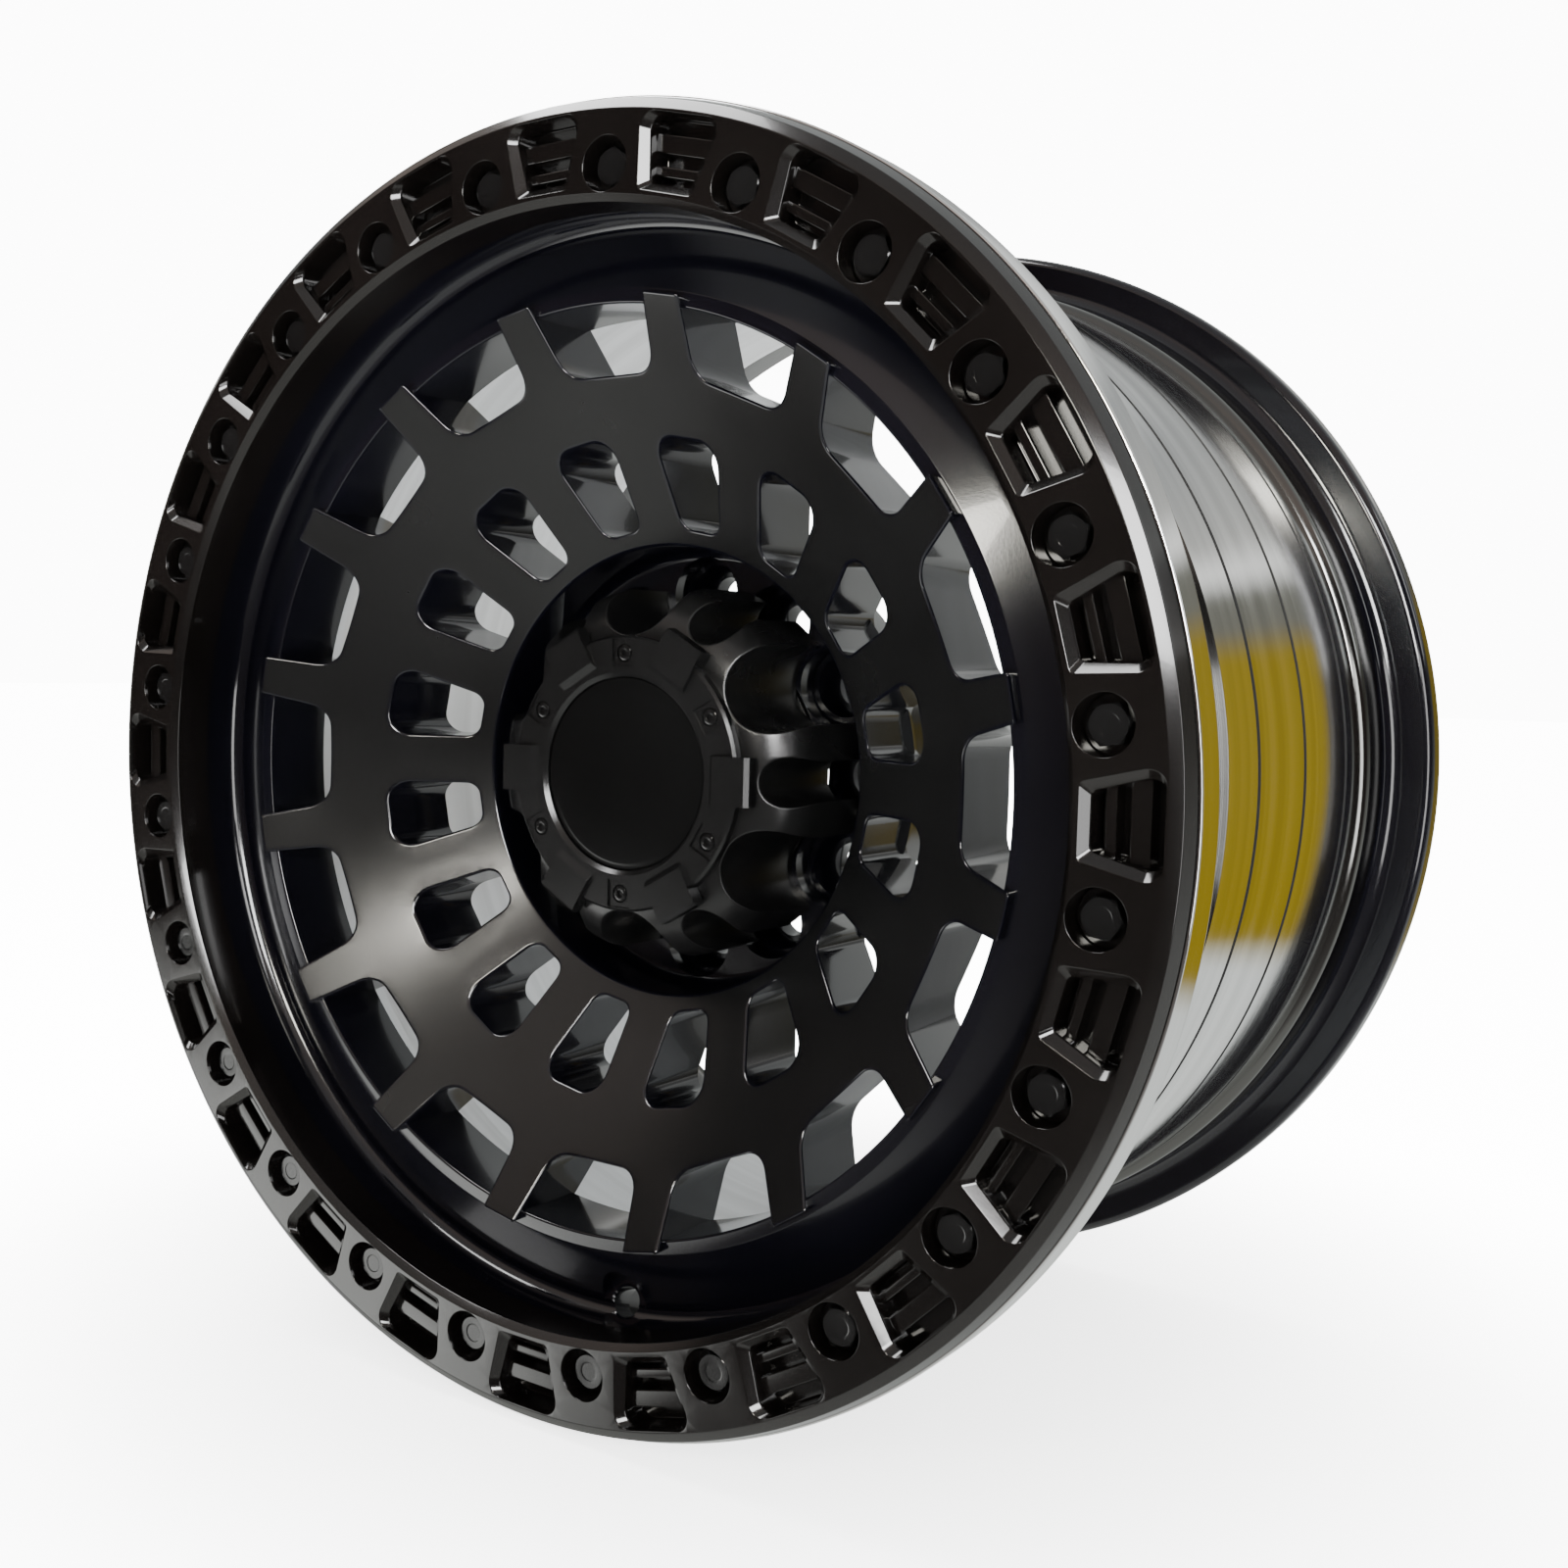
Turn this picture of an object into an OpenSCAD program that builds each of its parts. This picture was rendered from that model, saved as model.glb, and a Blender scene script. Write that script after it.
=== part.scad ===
// Deep-dish six-lug car wheel with a bolted outer ring and a tall centre cap.
// The wheel stands upright: its spin axis is Y, its front faces -Y, and the
// origin is the middle of the wheel. Inside the modules each piece is drawn
// on Z, where z is the depth behind the front face of the bolted ring, and
// upright() turns it into place.

/* [Rim] */
// Bead seat diameter, mm
bead_diameter = 436.6; // [435:0.2:438]
// Height of the tyre flanges above the bead seats, mm
flange_height = 17.7; // [17:0.1:18.5]
// Width between the tyre-side faces of the flanges, mm
rim_width = 254; // [244:1:264]
// Depth of the front flange's tyre-side face, mm
front_flange_depth = 26; // [25:0.5:28]
// Thickness of the rear flange, mm
rear_flange_thickness = 16; // [14:0.5:18]
// Depth of the drop centre below the bead seats, mm
well_drop = 19.3; // [17:0.1:20]
// Drop from the bead seats to the barrel just behind the drop centre, mm
barrel_front_drop = 6.8; // [5.5:0.1:8]
// Drop from the bead seats to the barrel ahead of the rear hump, mm
barrel_rear_drop = 3.8; // [3:0.1:4.5]
// Wall thickness of the barrel, mm
barrel_wall = 7.5; // [6.5:0.5:9]
// Distance from the drop centre's rise to the first turned groove, mm
groove_start = 30; // [25:1:40]
// Distance from the last turned groove to the rear hump's rise, mm
groove_end = 11.6; // [10:0.1:25]
// Width of a turned groove, mm
groove_width = 2.4; // [1.5:0.1:4]
// Depth of a turned groove, mm
groove_depth = 1.2; // [0.6:0.1:2]

/* [Lip] */
// Thickness of metal between the front bead seat and the lip wall, mm
lip_inset = 15.3; // [14:0.1:16]
// Radius of the hollow between the lip wall and its floor, mm
lip_fillet = 7; // [5:0.5:9]
// Depth of the lip floor at the hollow, mm
lip_depth = 37.5; // [36:0.5:39]
// Diameter of the valve hole, mm
valve_hole_diameter = 11.5; // [11.3:0.1:16]
// Angle of the valve hole round the wheel, degrees
valve_angle = -84.4; // [-90:0.2:-80]
// Lean of the valve hole away from the spin axis, degrees
valve_lean = 20; // [15:1:24]
// Diameter of the flat faces round the valve hole, mm
valve_spot_diameter = 20; // [18:0.5:22]

/* [Disc] */
// Number of outer windows, and of inner windows
window_count = 16; // [14:2:16]
// Slope of the concave disc face, depth gained per mm towards the hub
disc_slope = 0.64; // [0.6:0.01:0.68]
// Depth of the disc face at the inner edge of the outer windows, mm
disc_mid_depth = 40; // [39:0.5:42]
// Thickness of the disc along the spin axis, mm
disc_thickness = 36; // [32:1:38]
// Place of the spoke ends, as a share of the way from the lug well to the lip
spoke_end_share = 0.753; // [0.74:0.001:0.765]
// Drop from the spoke ends to the lip floor, mm
spoke_step = 4.6; // [3:0.1:5.5]
// Outer edge of the outer windows, as a share of the same way
outer_top_share = 0.718; // [0.7:0.001:0.725]
// Inner edge of the outer windows, as a share of the same way
outer_bottom_share = 0.53; // [0.51:0.001:0.55]
// Width of a spoke between two outer windows at the rim, mm
outer_spoke_tip = 16; // [14:0.5:18]
// Width of a spoke between two outer windows at its root, mm
outer_spoke_root = 18.9; // [17:0.1:21]
// Corner radius of the outer windows, mm
outer_window_corner = 9; // [6:0.5:11]
// Outer edge of the inner windows, as a share of the same way
inner_top_share = 0.345; // [0.32:0.001:0.36]
// Inner edge of the inner windows, as a share of the same way
inner_bottom_share = 0.06; // [0.05:0.001:0.09]
// Width of a spoke between two inner windows at its outer end, mm
inner_spoke_tip = 20.4; // [18:0.1:22]
// Width of a spoke between two inner windows at its root, mm
inner_spoke_root = 20; // [18:0.1:21]
// Corner radius of the inner windows, mm
inner_window_corner = 6.5; // [4:0.5:7.5]

/* [Hub] */
// Depth of the hub pad that the cap seats on, mm
pad_depth = 106; // [104:0.5:108]
// Depth of the mounting face behind the hub pad, mm
mounting_depth = 134; // [132:0.5:138]
// Radius of the lug well round the cap, mm
lug_well_radius = 87.5; // [87:0.5:89]
// Diameter of the centre bore, mm
centre_bore_diameter = 106.1; // [106:0.1:106.5]
// Depth of the wider seat for the cap's spigot in front of the centre bore, mm
cap_seat_depth = 11.5; // [11:0.5:14]
// First lug circle, mm
lug_circle_a = 139.7; // [139.2:0.1:140]
// Second lug circle, mm
lug_circle_b = 135; // [134.5:0.5:136]
// Lug holes on each circle
lug_count = 6; // [6:1:6]
// Diameter of a lug hole, mm
lug_hole_diameter = 15.5; // [15:0.1:16]
// Diameter of the socket clearance round a lug nut, mm
lug_socket_diameter = 30; // [28:0.5:31]
// Depth of the socket clearance, mm
lug_socket_depth = 9; // [7:0.5:11]

/* [Bolted ring] */
// Width of the ring, from the flange's edge in to its opening, mm
ring_width = 36.5; // [35.5:0.1:37]
// Thickness of the ring, mm
ring_thickness = 18; // [17:0.5:19]
// Thickness of the ring's rim that overlaps the flange, mm
ring_rim_thickness = 8; // [7:0.5:8.5]
// Width of the ring's seat inside the flange, mm
ring_rebate_width = 31.5; // [31.1:0.1:31.7]
// Number of ring bolts, and of pockets between them
bolt_count = 24; // [20:2:24]
// Distance from the flange's edge in to the bolt circle, mm
bolt_circle_inset = 24.4; // [24:0.1:25]
// Diameter of the hole that each bolt head sits in, mm
bolt_recess_diameter = 19; // [18:0.5:20]
// Depth of the hole that each bolt head sits in, mm
bolt_recess_depth = 9; // [8:0.5:10]
// Thread diameter of the ring bolts, mm
bolt_diameter = 8; // [6:0.5:8]
// Width across the flats of the bolt heads, mm
bolt_head_width = 12; // [11:0.5:13]
// Height of the bolt heads, mm
bolt_head_height = 5; // [4:0.5:6]
// Length of thread in the flange, mm
bolt_grip = 12; // [10:0.5:13]
// Width of a pocket at its inner end, mm
pocket_inner_width = 22.4; // [20:0.2:24]
// Width of a pocket near its outer end, mm
pocket_outer_width = 31.5; // [28:0.5:32]
// Distance from the flange's edge in to the outer end of a pocket, mm
pocket_inset = 7.4; // [7:0.1:9]
// Length of a pocket, from its outer end to its inner one, mm
pocket_length = 25.2; // [24:0.1:25.4]
// Outer corner radius of a pocket, mm
pocket_corner = 6; // [4:0.5:7]
// Width of the sloping ledge round a pocket, mm
pocket_ledge = 2.8; // [2:0.1:3.2]
// Depth of the pockets, mm
pocket_depth = 12; // [10:0.5:13]
// Height of the two bars across each pocket floor, mm
pocket_bar_height = 6; // [4:0.5:7]

/* [Centre cap] */
// Depth of the end face of the cap, mm
cap_face_depth = 52; // [50:0.5:54]
// Outer radius of the cap over its fingers, mm
cap_radius = 73; // [72:0.5:75]
// Radius of the rounded shoulder of the cap, mm
cap_shoulder = 23; // [20:0.5:24]
// Radius of the large scallops over the first lug circle, mm
scallop_large = 17; // [15.5:0.5:17]
// Radius of the small scallops over the second lug circle, mm
scallop_small = 9; // [7:0.5:10]
// Radius of the hollow inside the cap, mm
cap_hollow_radius = 47; // [44:0.5:48]
// Length of the cap's spigot in its seat, mm
cap_spigot = 10; // [6:0.5:11]
// Outer radius of the trim ring, mm
trim_radius = 52.5; // [51:0.5:53]
// Radius of the round badge, mm
badge_radius = 36.7; // [34:0.1:38]
// Thickness of the trim ring, mm
trim_thickness = 4; // [3.5:0.5:5]
// Width of a tab on the trim ring, mm
tab_width = 18; // [15:0.5:20]
// Distance a tab reaches past the trim ring, mm
tab_reach = 6; // [4:0.5:8]
// Height of a tab above the trim ring, mm
tab_rise = 2.2; // [1:0.1:3]
// Radius of the circle of cap screws, mm
cap_screw_circle = 45.8; // [45:0.1:46.5]
// Head diameter of a cap screw, mm
cap_screw_head = 6.2; // [5.5:0.1:6.6]

/* [Hidden] */
$fn = 96;
// Gap between round faces that belong to different pieces
clearance = 0.3;
// Overlap that keeps cuts clear of the faces they open through
over = 1;
// Largest turn, in degrees, of one flat of a rounded corner
corner_step = 24;
// Small chamfer that breaks an edge
edge_break = 1;
bead_r = bead_diameter / 2;
flange_r = bead_r + flange_height;
well_radius = bead_r - well_drop;
barrel_front_radius = bead_r - barrel_front_drop;
barrel_rear_radius = bead_r - barrel_rear_drop;
lip_radius = bead_r - lip_inset;
ring_bore_radius = flange_r - ring_width;
bolt_circle_radius = flange_r - bolt_circle_inset;
pocket_outer_radius = flange_r - pocket_inset;
pocket_inner_radius = pocket_outer_radius - pocket_length;
// Radii across the disc face, from their shares of its width
disc_width = lip_radius - lug_well_radius;
spoke_end_radius = lug_well_radius + disc_width * spoke_end_share;
outer_window_top = lug_well_radius + disc_width * outer_top_share;
outer_window_bottom = lug_well_radius + disc_width * outer_bottom_share;
inner_window_top = lug_well_radius + disc_width * inner_top_share;
inner_window_bottom = lug_well_radius + disc_width * inner_bottom_share;
rear_face = front_flange_depth + rim_width;
total_depth = rear_face + rear_flange_thickness;
// Tyre seats: toe radius, 5 degree seat and the round safety hump behind it
toe_radius = 6.5;
bead_taper = 5;
bead_length = 14;
hump_round = 5;
hump_half = 3.2;
hump_start = front_flange_depth + toe_radius + bead_length + hump_half;
hump_end = rear_face - toe_radius - bead_length - hump_half;
bead_inner_r = bead_r - tan(bead_taper) * bead_length;
flange_round = 4;
rear_round = 5;
// Mouth of the barrel at the rear, as distances in from the flange and forward of its face
rear_mouth = [[14, 0], [19, 3.5], [23, 10], [26.5, 20]];
well_front = hump_start + 12;
well_length = 26;
well_rear = well_front + well_length;
well_fillet = 6;
well_rise_fillet = 14;
well_rise_angle = 130;
well_rise = 18;
barrel_front = well_rear + well_rise;
barrel_rear = hump_end - 9;
groove_first = barrel_front + groove_start;
groove_count = 3;
groove_pitch = (barrel_rear - groove_end - groove_first) / (groove_count - 1);
well_inner = well_radius - barrel_wall;
// Web that joins the drop centre to the disc, as distances in from the wall and back
web_curve = [[0, 14], [3, 7], [9, 2]];
// Distance that the thicker rear stretch of the barrel's wall reaches, and its step
wall_blend = 12;
wall_step = 1;
rebate_r = ring_bore_radius + ring_rebate_width;
flange_front = ring_rim_thickness + clearance;
spoke_end_slope = 0.8;
// Depth that the step between the spoke ends is let into the lip floor
step_sink = 0.2;
step_inner_r = spoke_end_radius + spoke_end_slope;
hub_wall = 3;
hub_radius = lug_well_radius + hub_wall;
hub_fillet = 5;
hub_wall_round = 4;
// Seat of a lug nut: a cone of this included half angle, this much wider than the hole
lug_seat_angle = 30;
lug_seat_width = 4.5;
bore_r = centre_bore_diameter / 2;
bore_chamfer = 1.5;
cap_seat_step = 0.8;
cap_seat_r = bore_r + cap_seat_step;
window_pitch = 360 / window_count;
lug_pitch = 360 / lug_count;
bolt_pitch = 360 / bolt_count;
bolt_phase = bolt_pitch / 2;
bolt_hole_r = bolt_diameter / 2 + clearance;
bolt_hole_spare = 1.5;
// Section of the ring: inner chamfer, rebate over the flange and the bevel round its rim
ring_chamfer = 2.5;
bevel_width = 6.4;
bevel_slope = [3.6, 2.2];
bevel_reach = 5.4;
pocket_inner_corner = 2;
pocket_corner_flat = 0.5;
// The two bars across a pocket's floor, as distance from its outer end and width
pocket_bars = [[12.2, 6.4], [19.6, 3.6]];
// Valve hole: place of its axis in from the lip wall, and depths of its two flat faces
valve_inset = 6;
valve_front_face = -1;
valve_rear_face = 10;
valve_reach = 34;
cap_top = cap_face_depth + trim_thickness;
cap_plate = 8;
badge_thickness = 2;
trim_slope = [1.6, 1.4];
tab_start = 4;
tab_rise_length = 2.5;
tab_chamfer = 1.5;
cap_screw_thread = 1.5;
cap_screw_length = 5;
cap_screw_head_height = 1.8;
screw_recess_depth = 2.6;
screw_square = 10.5;
screw_square_depth = 1;
socket_width = 2.5;
socket_depth = 1;

// Depth of the disc face at radius r
function disc_depth(r) = disc_mid_depth - disc_slope * (r - outer_window_bottom);

// Outer radius of the plain barrel at depth d
function barrel_r(d) = barrel_front_radius
  + (barrel_rear_radius - barrel_front_radius) * (d - barrel_front) / (barrel_rear - barrel_front);

// Points along an arc, angles in degrees
function arc(x, y, r, from, to, steps) =
  [for (i = [0:steps]) let (a = from + (to - from) * i / steps) [x + r * cos(a), y + r * sin(a)]];

// Point at radius r and angle a
function polar(r, a) = [r * cos(a), r * sin(a)];

// Mirror image of point p over the X axis
function mirrored(p) = [p[0], -p[1]];

// Corner p of an outline rounded to radius r; before and after are the corners next to it
function rounded_corner(p, before, after, r) =
  let (
    u = (before - p) / norm(before - p),
    v = (after - p) / norm(after - p),
    half = acos(u * v) / 2,
    turn = 180 - 2 * half,
    side = sign(u[1] * v[0] - u[0] * v[1]),
    centre = p + (u + v) / norm(u + v) * r / sin(half),
    start = p + u * r / tan(half) - centre,
    from = atan2(start[1], start[0])
  )
  arc(centre[0], centre[1], r, from, from + side * turn, max(2, ceil(turn / corner_step)));

// Outline through the corners, each rounded to its own radius, or sharp where that is 0
function rounded(corners, radii) = [
  for (i = [0:len(corners) - 1])
    let (
      before = corners[(i + len(corners) - 1) % len(corners)],
      after = corners[(i + 1) % len(corners)],
      p = corners[i]
    )
    for (q = radii[i] > 0 ? rounded_corner(p, before, after, radii[i]) : [p])
      q
];

// Half angle left for a window between two spokes of width w at radius r
function window_half(r, w) = window_pitch / 2 - asin(w / 2 / r);

// Name number i with two digits, so that names sort in order
function numbered(stem, i) = str(stem, i < 10 ? "0" : "", i);

bolt_names = [for (i = [1:bolt_count]) numbered("ring_bolt_", i)];
screw_names = [for (i = [1:lug_count]) str("cap_screw_", i)];

// Turns a piece drawn on Z into the wheel's upright frame
module upright() {
  translate([0, -total_depth / 2, 0])
    rotate([-90, 0, 0])
      children();
}

// Tyre side of the rim, from the front flange to the rear one
function tyre_side() = concat(
  [
    [rebate_r, flange_front],
    [flange_r - edge_break, flange_front],
    [flange_r, flange_front + edge_break]
  ],
  arc(flange_r - flange_round, front_flange_depth - flange_round, flange_round, 0, 90, 4),
  arc(bead_r + toe_radius, front_flange_depth + toe_radius, toe_radius, 270, 180, 4),
  [[bead_inner_r, hump_start - hump_half]],
  arc(bead_r - hump_round, hump_start, hump_round, -40, 70, 4),
  arc(well_radius + well_fillet, well_front + well_fillet, well_fillet, 270, 180, 4),
  arc(well_radius + well_rise_fillet, well_rear, well_rise_fillet, 180, well_rise_angle, 4),
  [[barrel_front_radius, barrel_front]],
  [for (i = [0:groove_count - 1], side = [0:3])
    let (
      d = groove_first + groove_pitch * i + (side < 2 ? -1 : 1) * groove_width / 2,
      cut = side == 1 || side == 2 ? groove_depth : 0
    )
    [barrel_r(d) - cut, d]
  ],
  [[barrel_rear_radius, barrel_rear]],
  arc(bead_r - hump_round, hump_end, hump_round, -70, 40, 4),
  [[bead_inner_r, hump_end + hump_half]],
  arc(bead_r + toe_radius, rear_face - toe_radius, toe_radius, 180, 90, 4),
  arc(flange_r - flange_round, rear_face + flange_round, flange_round, 270, 360, 4),
  arc(flange_r - rear_round, total_depth - rear_round, rear_round, 0, 90, 4)
);

// Brake side of the rim and disc, from the rear flange to the mounting face
function brake_side() = concat(
  [for (p = rear_mouth) [flange_r - p[0], total_depth - p[1]]],
  [
    [barrel_rear_radius - barrel_wall + wall_step, barrel_rear + wall_blend],
    [barrel_rear_radius - barrel_wall, barrel_rear],
    [barrel_front_radius - barrel_wall, barrel_front + well_rise_fillet / 2],
    [well_inner + wall_blend / 4, well_rear + well_fillet - edge_break],
    [well_inner, well_rear - edge_break]
  ],
  [for (p = web_curve) [well_inner - p[0], well_front + p[1]]],
  [
    [spoke_end_radius, disc_depth(spoke_end_radius) + disc_thickness],
    [hub_radius + hub_fillet, disc_depth(hub_radius + hub_fillet) + disc_thickness],
    [hub_radius, disc_depth(hub_radius) + disc_thickness + hub_wall_round],
    [hub_radius - edge_break, mounting_depth - edge_break * 2],
    [hub_radius - hub_wall, mounting_depth]
  ]
);

// Front of the wheel, from the centre bore to the seat of the bolted ring
function front_side() = concat(
  [
    [bore_r + bore_chamfer, mounting_depth],
    [bore_r, mounting_depth - bore_chamfer],
    [bore_r, pad_depth + cap_seat_depth],
    [cap_seat_r, pad_depth + cap_seat_depth],
    [cap_seat_r, pad_depth + edge_break],
    [cap_seat_r + edge_break, pad_depth]
  ],
  arc(lug_well_radius - hub_wall_round, pad_depth - hub_wall_round, hub_wall_round, 90, 0, 3),
  [
    [lug_well_radius, disc_depth(lug_well_radius) + edge_break],
    [lug_well_radius + edge_break, disc_depth(lug_well_radius + edge_break)],
    [spoke_end_radius, disc_depth(spoke_end_radius)],
    [step_inner_r, disc_depth(spoke_end_radius) + spoke_step]
  ],
  arc(lip_radius - lip_fillet, lip_depth - lip_fillet, lip_fillet, 67, 0, 4),
  [
    [lip_radius, ring_thickness],
    [rebate_r, ring_thickness]
  ]
);

// One outer window, centred on angle 0 and open to the lip floor
module outer_window() {
  top_half = window_half(outer_window_top, outer_spoke_tip);
  bottom_half = window_half(outer_window_bottom, outer_spoke_root);
  a = polar(outer_window_bottom, -bottom_half);
  b = polar(outer_window_top, -top_half);
  c = polar(outer_window_top, top_half);
  d = polar(outer_window_bottom, bottom_half);
  polygon(rounded(
    [a, b, polar(outer_window_top, 0), c, d],
    [outer_window_corner, 0, 0, 0, outer_window_corner]
  ));
}

// The shallow step between the spoke ends, in front of the window's outer edge
module window_step() {
  reach = step_inner_r + spoke_step;
  top_half = window_half(outer_window_top, outer_spoke_tip);
  reach_half = window_half(reach, outer_spoke_tip);
  polygon([
    polar(outer_window_top - over, -top_half),
    polar(reach, -reach_half),
    polar(reach, 0),
    polar(reach, reach_half),
    polar(outer_window_top - over, top_half)
  ]);
}

// One inner window, centred on angle 0
module inner_window() {
  top_half = window_half(inner_window_top, inner_spoke_tip);
  bottom_half = window_half(inner_window_bottom, inner_spoke_root);
  a = polar(inner_window_bottom, -bottom_half);
  b = polar(inner_window_top, -top_half);
  c = polar(inner_window_top, top_half);
  d = polar(inner_window_bottom, bottom_half);
  tight = inner_window_corner - 1;
  wide = inner_window_corner + 1;
  polygon(rounded([a, b, c, d], [tight, wide, wide, tight]));
}

// Both rings of windows, cut straight through the disc
module windows() {
  for (i = [0:window_count - 1]) {
    rotate(window_pitch * i)
      linear_extrude(well_rear)
        outer_window();
    rotate(window_pitch * i)
      linear_extrude(disc_depth(spoke_end_radius) + spoke_step + step_sink)
        window_step();
    rotate(window_pitch * (i + 0.5))
      linear_extrude(mounting_depth)
        inner_window();
  }
}

// A lug hole on its circle: socket clearance, 60 degree seat and stud hole
module lug_hole(circle_diameter) {
  seat_top = lug_hole_diameter / 2 + lug_seat_width;
  seat_depth = lug_seat_width / tan(lug_seat_angle);
  translate([circle_diameter / 2, 0, pad_depth - over])
    cylinder(h = lug_socket_depth + over, d = lug_socket_diameter);
  translate([circle_diameter / 2, 0, pad_depth + lug_socket_depth])
    rotate_extrude()
      polygon([
        [0, -over],
        [seat_top, -over],
        [seat_top, 0],
        [lug_hole_diameter / 2, seat_depth],
        [lug_hole_diameter / 2, mounting_depth],
        [0, mounting_depth]
      ]);
}

// The valve hole through the lip, with a flat face at each end
module valve_hole() {
  rotate(-valve_angle)
    translate([lip_radius - valve_inset, 0, lip_depth])
      rotate([0, valve_lean, 0]) {
        translate([0, 0, valve_front_face - over])
          cylinder(h = valve_reach, d = valve_hole_diameter);
        translate([0, 0, valve_front_face - lip_fillet * 2])
          cylinder(h = lip_fillet * 2, d = valve_spot_diameter);
        translate([0, 0, valve_rear_face])
          cylinder(h = valve_reach, d = valve_spot_diameter);
      }
}

// Barrel, lip, disc and hub, cast and turned in one piece
module wheel_casting() {
  color([0.05, 0.05, 0.05])
    upright()
      difference() {
        rotate_extrude()
          polygon(concat(tyre_side(), brake_side(), front_side()));
        windows();
        for (i = [0:lug_count - 1]) {
          rotate(lug_pitch * (i + 0.5))
            lug_hole(lug_circle_a);
          rotate(lug_pitch * i)
            lug_hole(lug_circle_b);
        }
        for (i = [0:bolt_count - 1])
          rotate(bolt_phase + bolt_pitch * i)
            translate([bolt_circle_radius, 0, ring_thickness - over])
              cylinder(h = bolt_grip + over + bolt_hole_spare, r = bolt_hole_r, $fn = 32);
        valve_hole();
      }
}

// Outline of a pocket in the bolted ring, set in from the face edge by inset
module pocket_outline(inset) {
  shoulder = pocket_outer_radius - pocket_corner;
  a = [pocket_inner_radius + inset, -pocket_inner_width / 2 + inset];
  b = [shoulder, -pocket_outer_width / 2 + inset];
  c = [pocket_outer_radius, b[1]];
  outer_corner = pocket_corner - pocket_corner_flat;
  polygon(rounded(
    [a, b, c, mirrored(c), mirrored(b), mirrored(a)],
    [pocket_inner_corner, 0, outer_corner, outer_corner, 0, pocket_inner_corner]
  ));
}

// Everything on the left of the edge p to q, under a slope that starts at that edge
module sloped_side(p, q) {
  along = q - p;
  translate(p)
    rotate(atan2(along[1], along[0]))
      rotate([90, 0, 90])
        translate([0, 0, -pocket_outer_width])
          linear_extrude(pocket_outer_width * 3)
            polygon([
              [-over, -over],
              [pocket_outer_width * 2, -over],
              [pocket_outer_width * 2, pocket_ledge],
              [pocket_ledge, pocket_ledge]
            ]);
}

// One pocket: sloping ledges, deep walls and a floor with two bars across it
module pocket() {
  bar_top = pocket_depth - pocket_bar_height;
  translate([0, 0, -over])
    linear_extrude(over + bar_top)
      pocket_outline(pocket_ledge);
  difference() {
    linear_extrude(pocket_depth)
      pocket_outline(pocket_ledge);
    for (bar = pocket_bars)
      translate([pocket_outer_radius - bar[0], -pocket_outer_width, bar_top])
        cube([bar[1], pocket_outer_width * 2, pocket_depth]);
  }
}

// The sloping ledges on the inner end and both sides of a pocket
module pocket_ledges() {
  shoulder = pocket_outer_radius - pocket_corner;
  inner_low = [pocket_inner_radius, -pocket_inner_width / 2];
  inner_high = [pocket_inner_radius, pocket_inner_width / 2];
  outer_low = [shoulder, -pocket_outer_width / 2];
  outer_high = [shoulder, pocket_outer_width / 2];
  intersection() {
    translate([0, 0, -over])
      linear_extrude(over + pocket_ledge)
        pocket_outline(0);
    sloped_side(inner_low, outer_low);
    sloped_side(outer_high, inner_high);
    sloped_side(inner_high, inner_low);
  }
}

// The ring bolted to the front flange, with pockets between its bolts
module bolted_ring() {
  bevel_r = flange_r - bevel_width;
  color([0.06, 0.05, 0.05])
    upright()
      difference() {
        rotate_extrude()
          polygon([
            [ring_bore_radius, ring_chamfer],
            [ring_bore_radius + ring_chamfer, 0],
            [bevel_r, 0],
            bevel_slope + [bevel_r, 0],
            [bevel_r + bevel_reach, ring_rim_thickness],
            [rebate_r - clearance, ring_rim_thickness],
            [rebate_r - clearance, ring_thickness],
            [ring_bore_radius, ring_thickness]
          ]);
        for (i = [0:bolt_count - 1]) {
          rotate(bolt_pitch * i) {
            pocket();
            pocket_ledges();
          }
          rotate(bolt_phase + bolt_pitch * i)
            translate([bolt_circle_radius, 0, 0]) {
              translate([0, 0, -over])
                cylinder(h = bolt_recess_depth + over, d = bolt_recess_diameter);
              cylinder(h = ring_thickness + over, r = bolt_hole_r, $fn = 32);
            }
        }
      }
}

// Ring bolt number i, its hexagon head sunk in the ring
module ring_bolt(i) {
  corner_r = bolt_head_width / 2 / cos(30);
  color([0.08, 0.08, 0.08])
    upright()
      rotate(bolt_phase + bolt_pitch * (i - 1))
        translate([bolt_circle_radius, 0, bolt_recess_depth - bolt_head_height]) {
          intersection() {
            cylinder(h = bolt_head_height, r = corner_r, $fn = 6);
            rotate_extrude()
              polygon([
                [0, 0],
                [bolt_head_width / 2 - clearance, 0],
                [corner_r, edge_break],
                [corner_r, bolt_head_height],
                [0, bolt_head_height]
              ]);
          }
          translate([0, 0, bolt_head_height - over])
            cylinder(
              h = ring_thickness - bolt_recess_depth + bolt_grip + over,
              d = bolt_diameter,
              $fn = 48
            );
        }
}

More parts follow.
